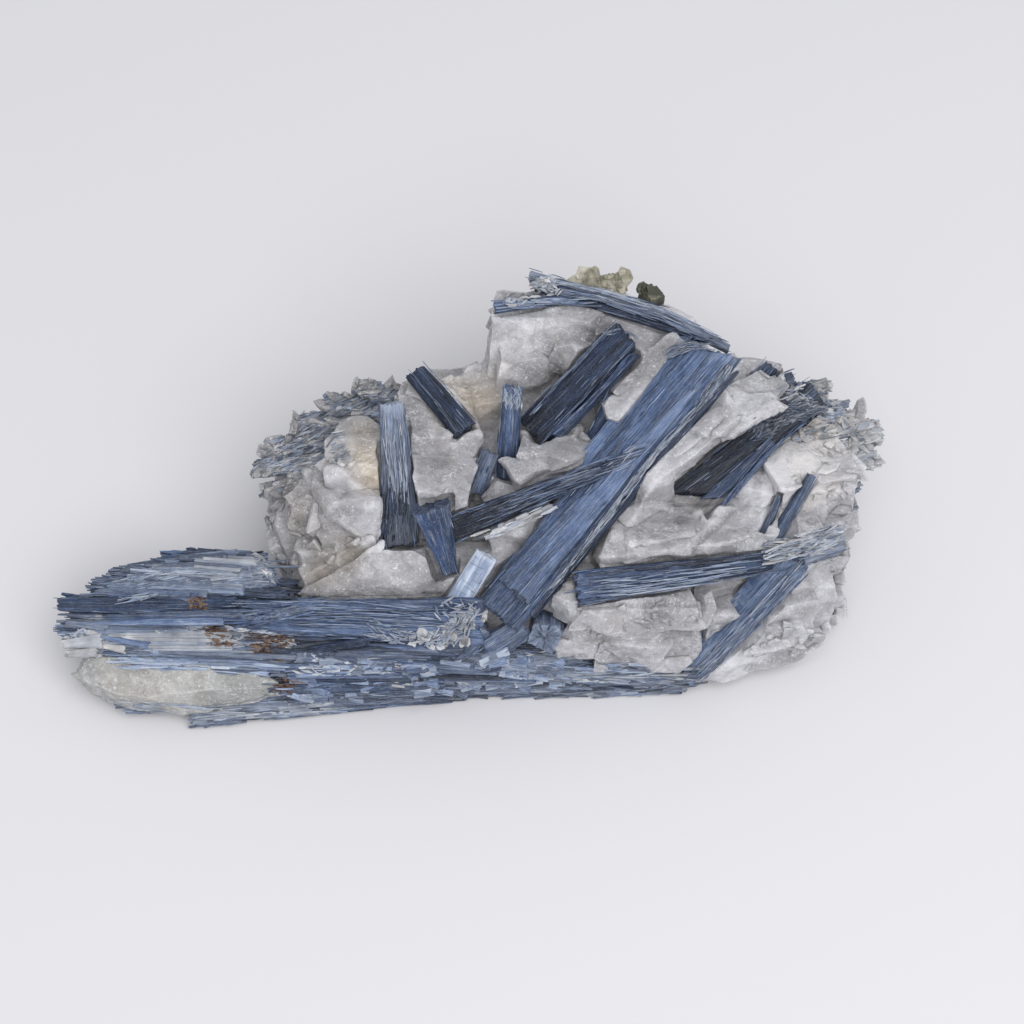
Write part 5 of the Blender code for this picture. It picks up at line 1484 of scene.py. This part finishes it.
def edge(node, seed, way, tone, pale, count, length, width):
    """A node of ragged laths: a grooved core, laths over it, and strokes where the view shows them."""
    def grain(points):
        return np.tile(unit(way), (len(points), 1))

    def paleness(points):
        return pale + 0.2 * waves(points, 8, seed) + 0.12 * waves(points, 2.5, seed + 1)

    def core_paleness(points):
        return paleness(points) + CORE_PALER

    def light(points):
        return tone + 0.2 * waves(points, 6, seed + 2)

    stem = node.rsplit("_", 1)[0]
    core(stem + "_core", node, grain, core_paleness, tone=tone)
    bundle = Bundle(seed)
    thatch(bundle, [node], count, grain, length, width, paleness, light, yaw=0.16, reach=0.7)
    for stroke in EDGE_STROKES.get(node, ()):
        strokes(bundle, *stroke)
    bundle.build(stem + "_laths", KYANITE, "pale_kyanite", node)


def build_edges():
    for node, values in EDGES.items():
        edge(node, *values)
    flakes("left_edge_chips", QUARTZ, "quartz", "left_edge_blades", 75, 240, 1.2, (0.0, 0.2), 0.15, AFAR,
           -0.2)
    flakes("right_edge_chips", QUARTZ, "quartz", "right_edge_blades", 76, 170, 1.2, (0.0, 0.15), 0.16, AFAR,
           -0.17)
    flakes("cap_crumbs", QUARTZ, "quartz", "cap_blade", 78, 900, 0.7, (-0.05, 0.1), 0.3, AFAR, 0.1,
           inside=CRUMBLED)


def build_mica():
    stone("mica_book_stone", MICA, "mica", "mica_book", 0.4, 0.35, AFAR, -0.05, 5000)
    stone("green_mica_stone", MICA, "mica", "green_mica", 0.3, 0.3, AFAR, -0.4, 4000)
    flakes("mica_book_flakes", MICA, "mica", "mica_book", 81, 90, 1.2, (-0.2, 0.05), 0.06, AFAR, -0.04)
    flakes("green_mica_flakes", MICA, "mica", "green_mica", 82, 70, 0.8, (0.0, 0.2), 0.5, AFAR, -0.36)


build_quartz()
build_blades()
build_sheaf()
build_edges()
build_mica()


# ================================================================ floor, light and camera
FLOOR_HALF = 2.0  # half the floor's side, in m
FLOOR_COLOUR = (0.595, 0.588, 0.61, 1)
FLOOR_ROUGHNESS, FLOOR_SHINE = 0.9, 0.2
STUDIO_COLOUR, STUDIO_STRENGTH = (0.95, 0.97, 1.0, 1), 0.7
KEY_PLACE = Vector((0.22, -0.44, 0.8))  # in m, as the lamp's size
KEY_SIZE, KEY_POWER = 0.9, 8.7


def added(name, data):
    obj = bpy.data.objects.new(name, data)
    bpy.context.scene.collection.objects.link(obj)
    return obj


def aimed(obj, place, aim):
    """Puts a lamp or camera at a place, so that it looks at another."""
    obj.location = place
    obj.rotation_euler = (aim - place).to_track_quat("-Z", "Y").to_euler()


def add_floor():
    mesh = bpy.data.meshes.new("floor")
    corners = [(x * FLOOR_HALF, y * FLOOR_HALF, 0) for x, y in ((-1, -1), (1, -1), (1, 1), (-1, 1))]
    mesh.from_pydata(corners, [], [(0, 1, 2, 3)])
    n = Nodes("floor")
    n.feed(n.shader, Base_Color=FLOOR_COLOUR, Roughness=FLOOR_ROUGHNESS, Specular_IOR_Level=FLOOR_SHINE)
    mesh.materials.append(n.material)
    floor = added("floor", mesh)


def add_light():
    world = bpy.data.worlds.new("studio")
    world.use_nodes = True
    bpy.context.scene.world = world
    background = world.node_tree.nodes["Background"]
    background.inputs["Color"].default_value = STUDIO_COLOUR
    background.inputs["Strength"].default_value = STUDIO_STRENGTH
    light = bpy.data.lights.new("key", "AREA")
    light.size, light.energy = KEY_SIZE, KEY_POWER
    aimed(added("key", light), KEY_PLACE, Vector())
    bpy.context.scene.view_settings.view_transform = "Standard"


def add_camera():
    data = bpy.data.cameras.new("camera")
    data.lens, data.sensor_width = LENS, SENSOR
    obj = added("camera", data)
    aimed(obj, Vector(to_row(EYE)), Vector(to_row(AIM)))
    bpy.context.scene.camera = obj


add_floor()
add_light()
add_camera()
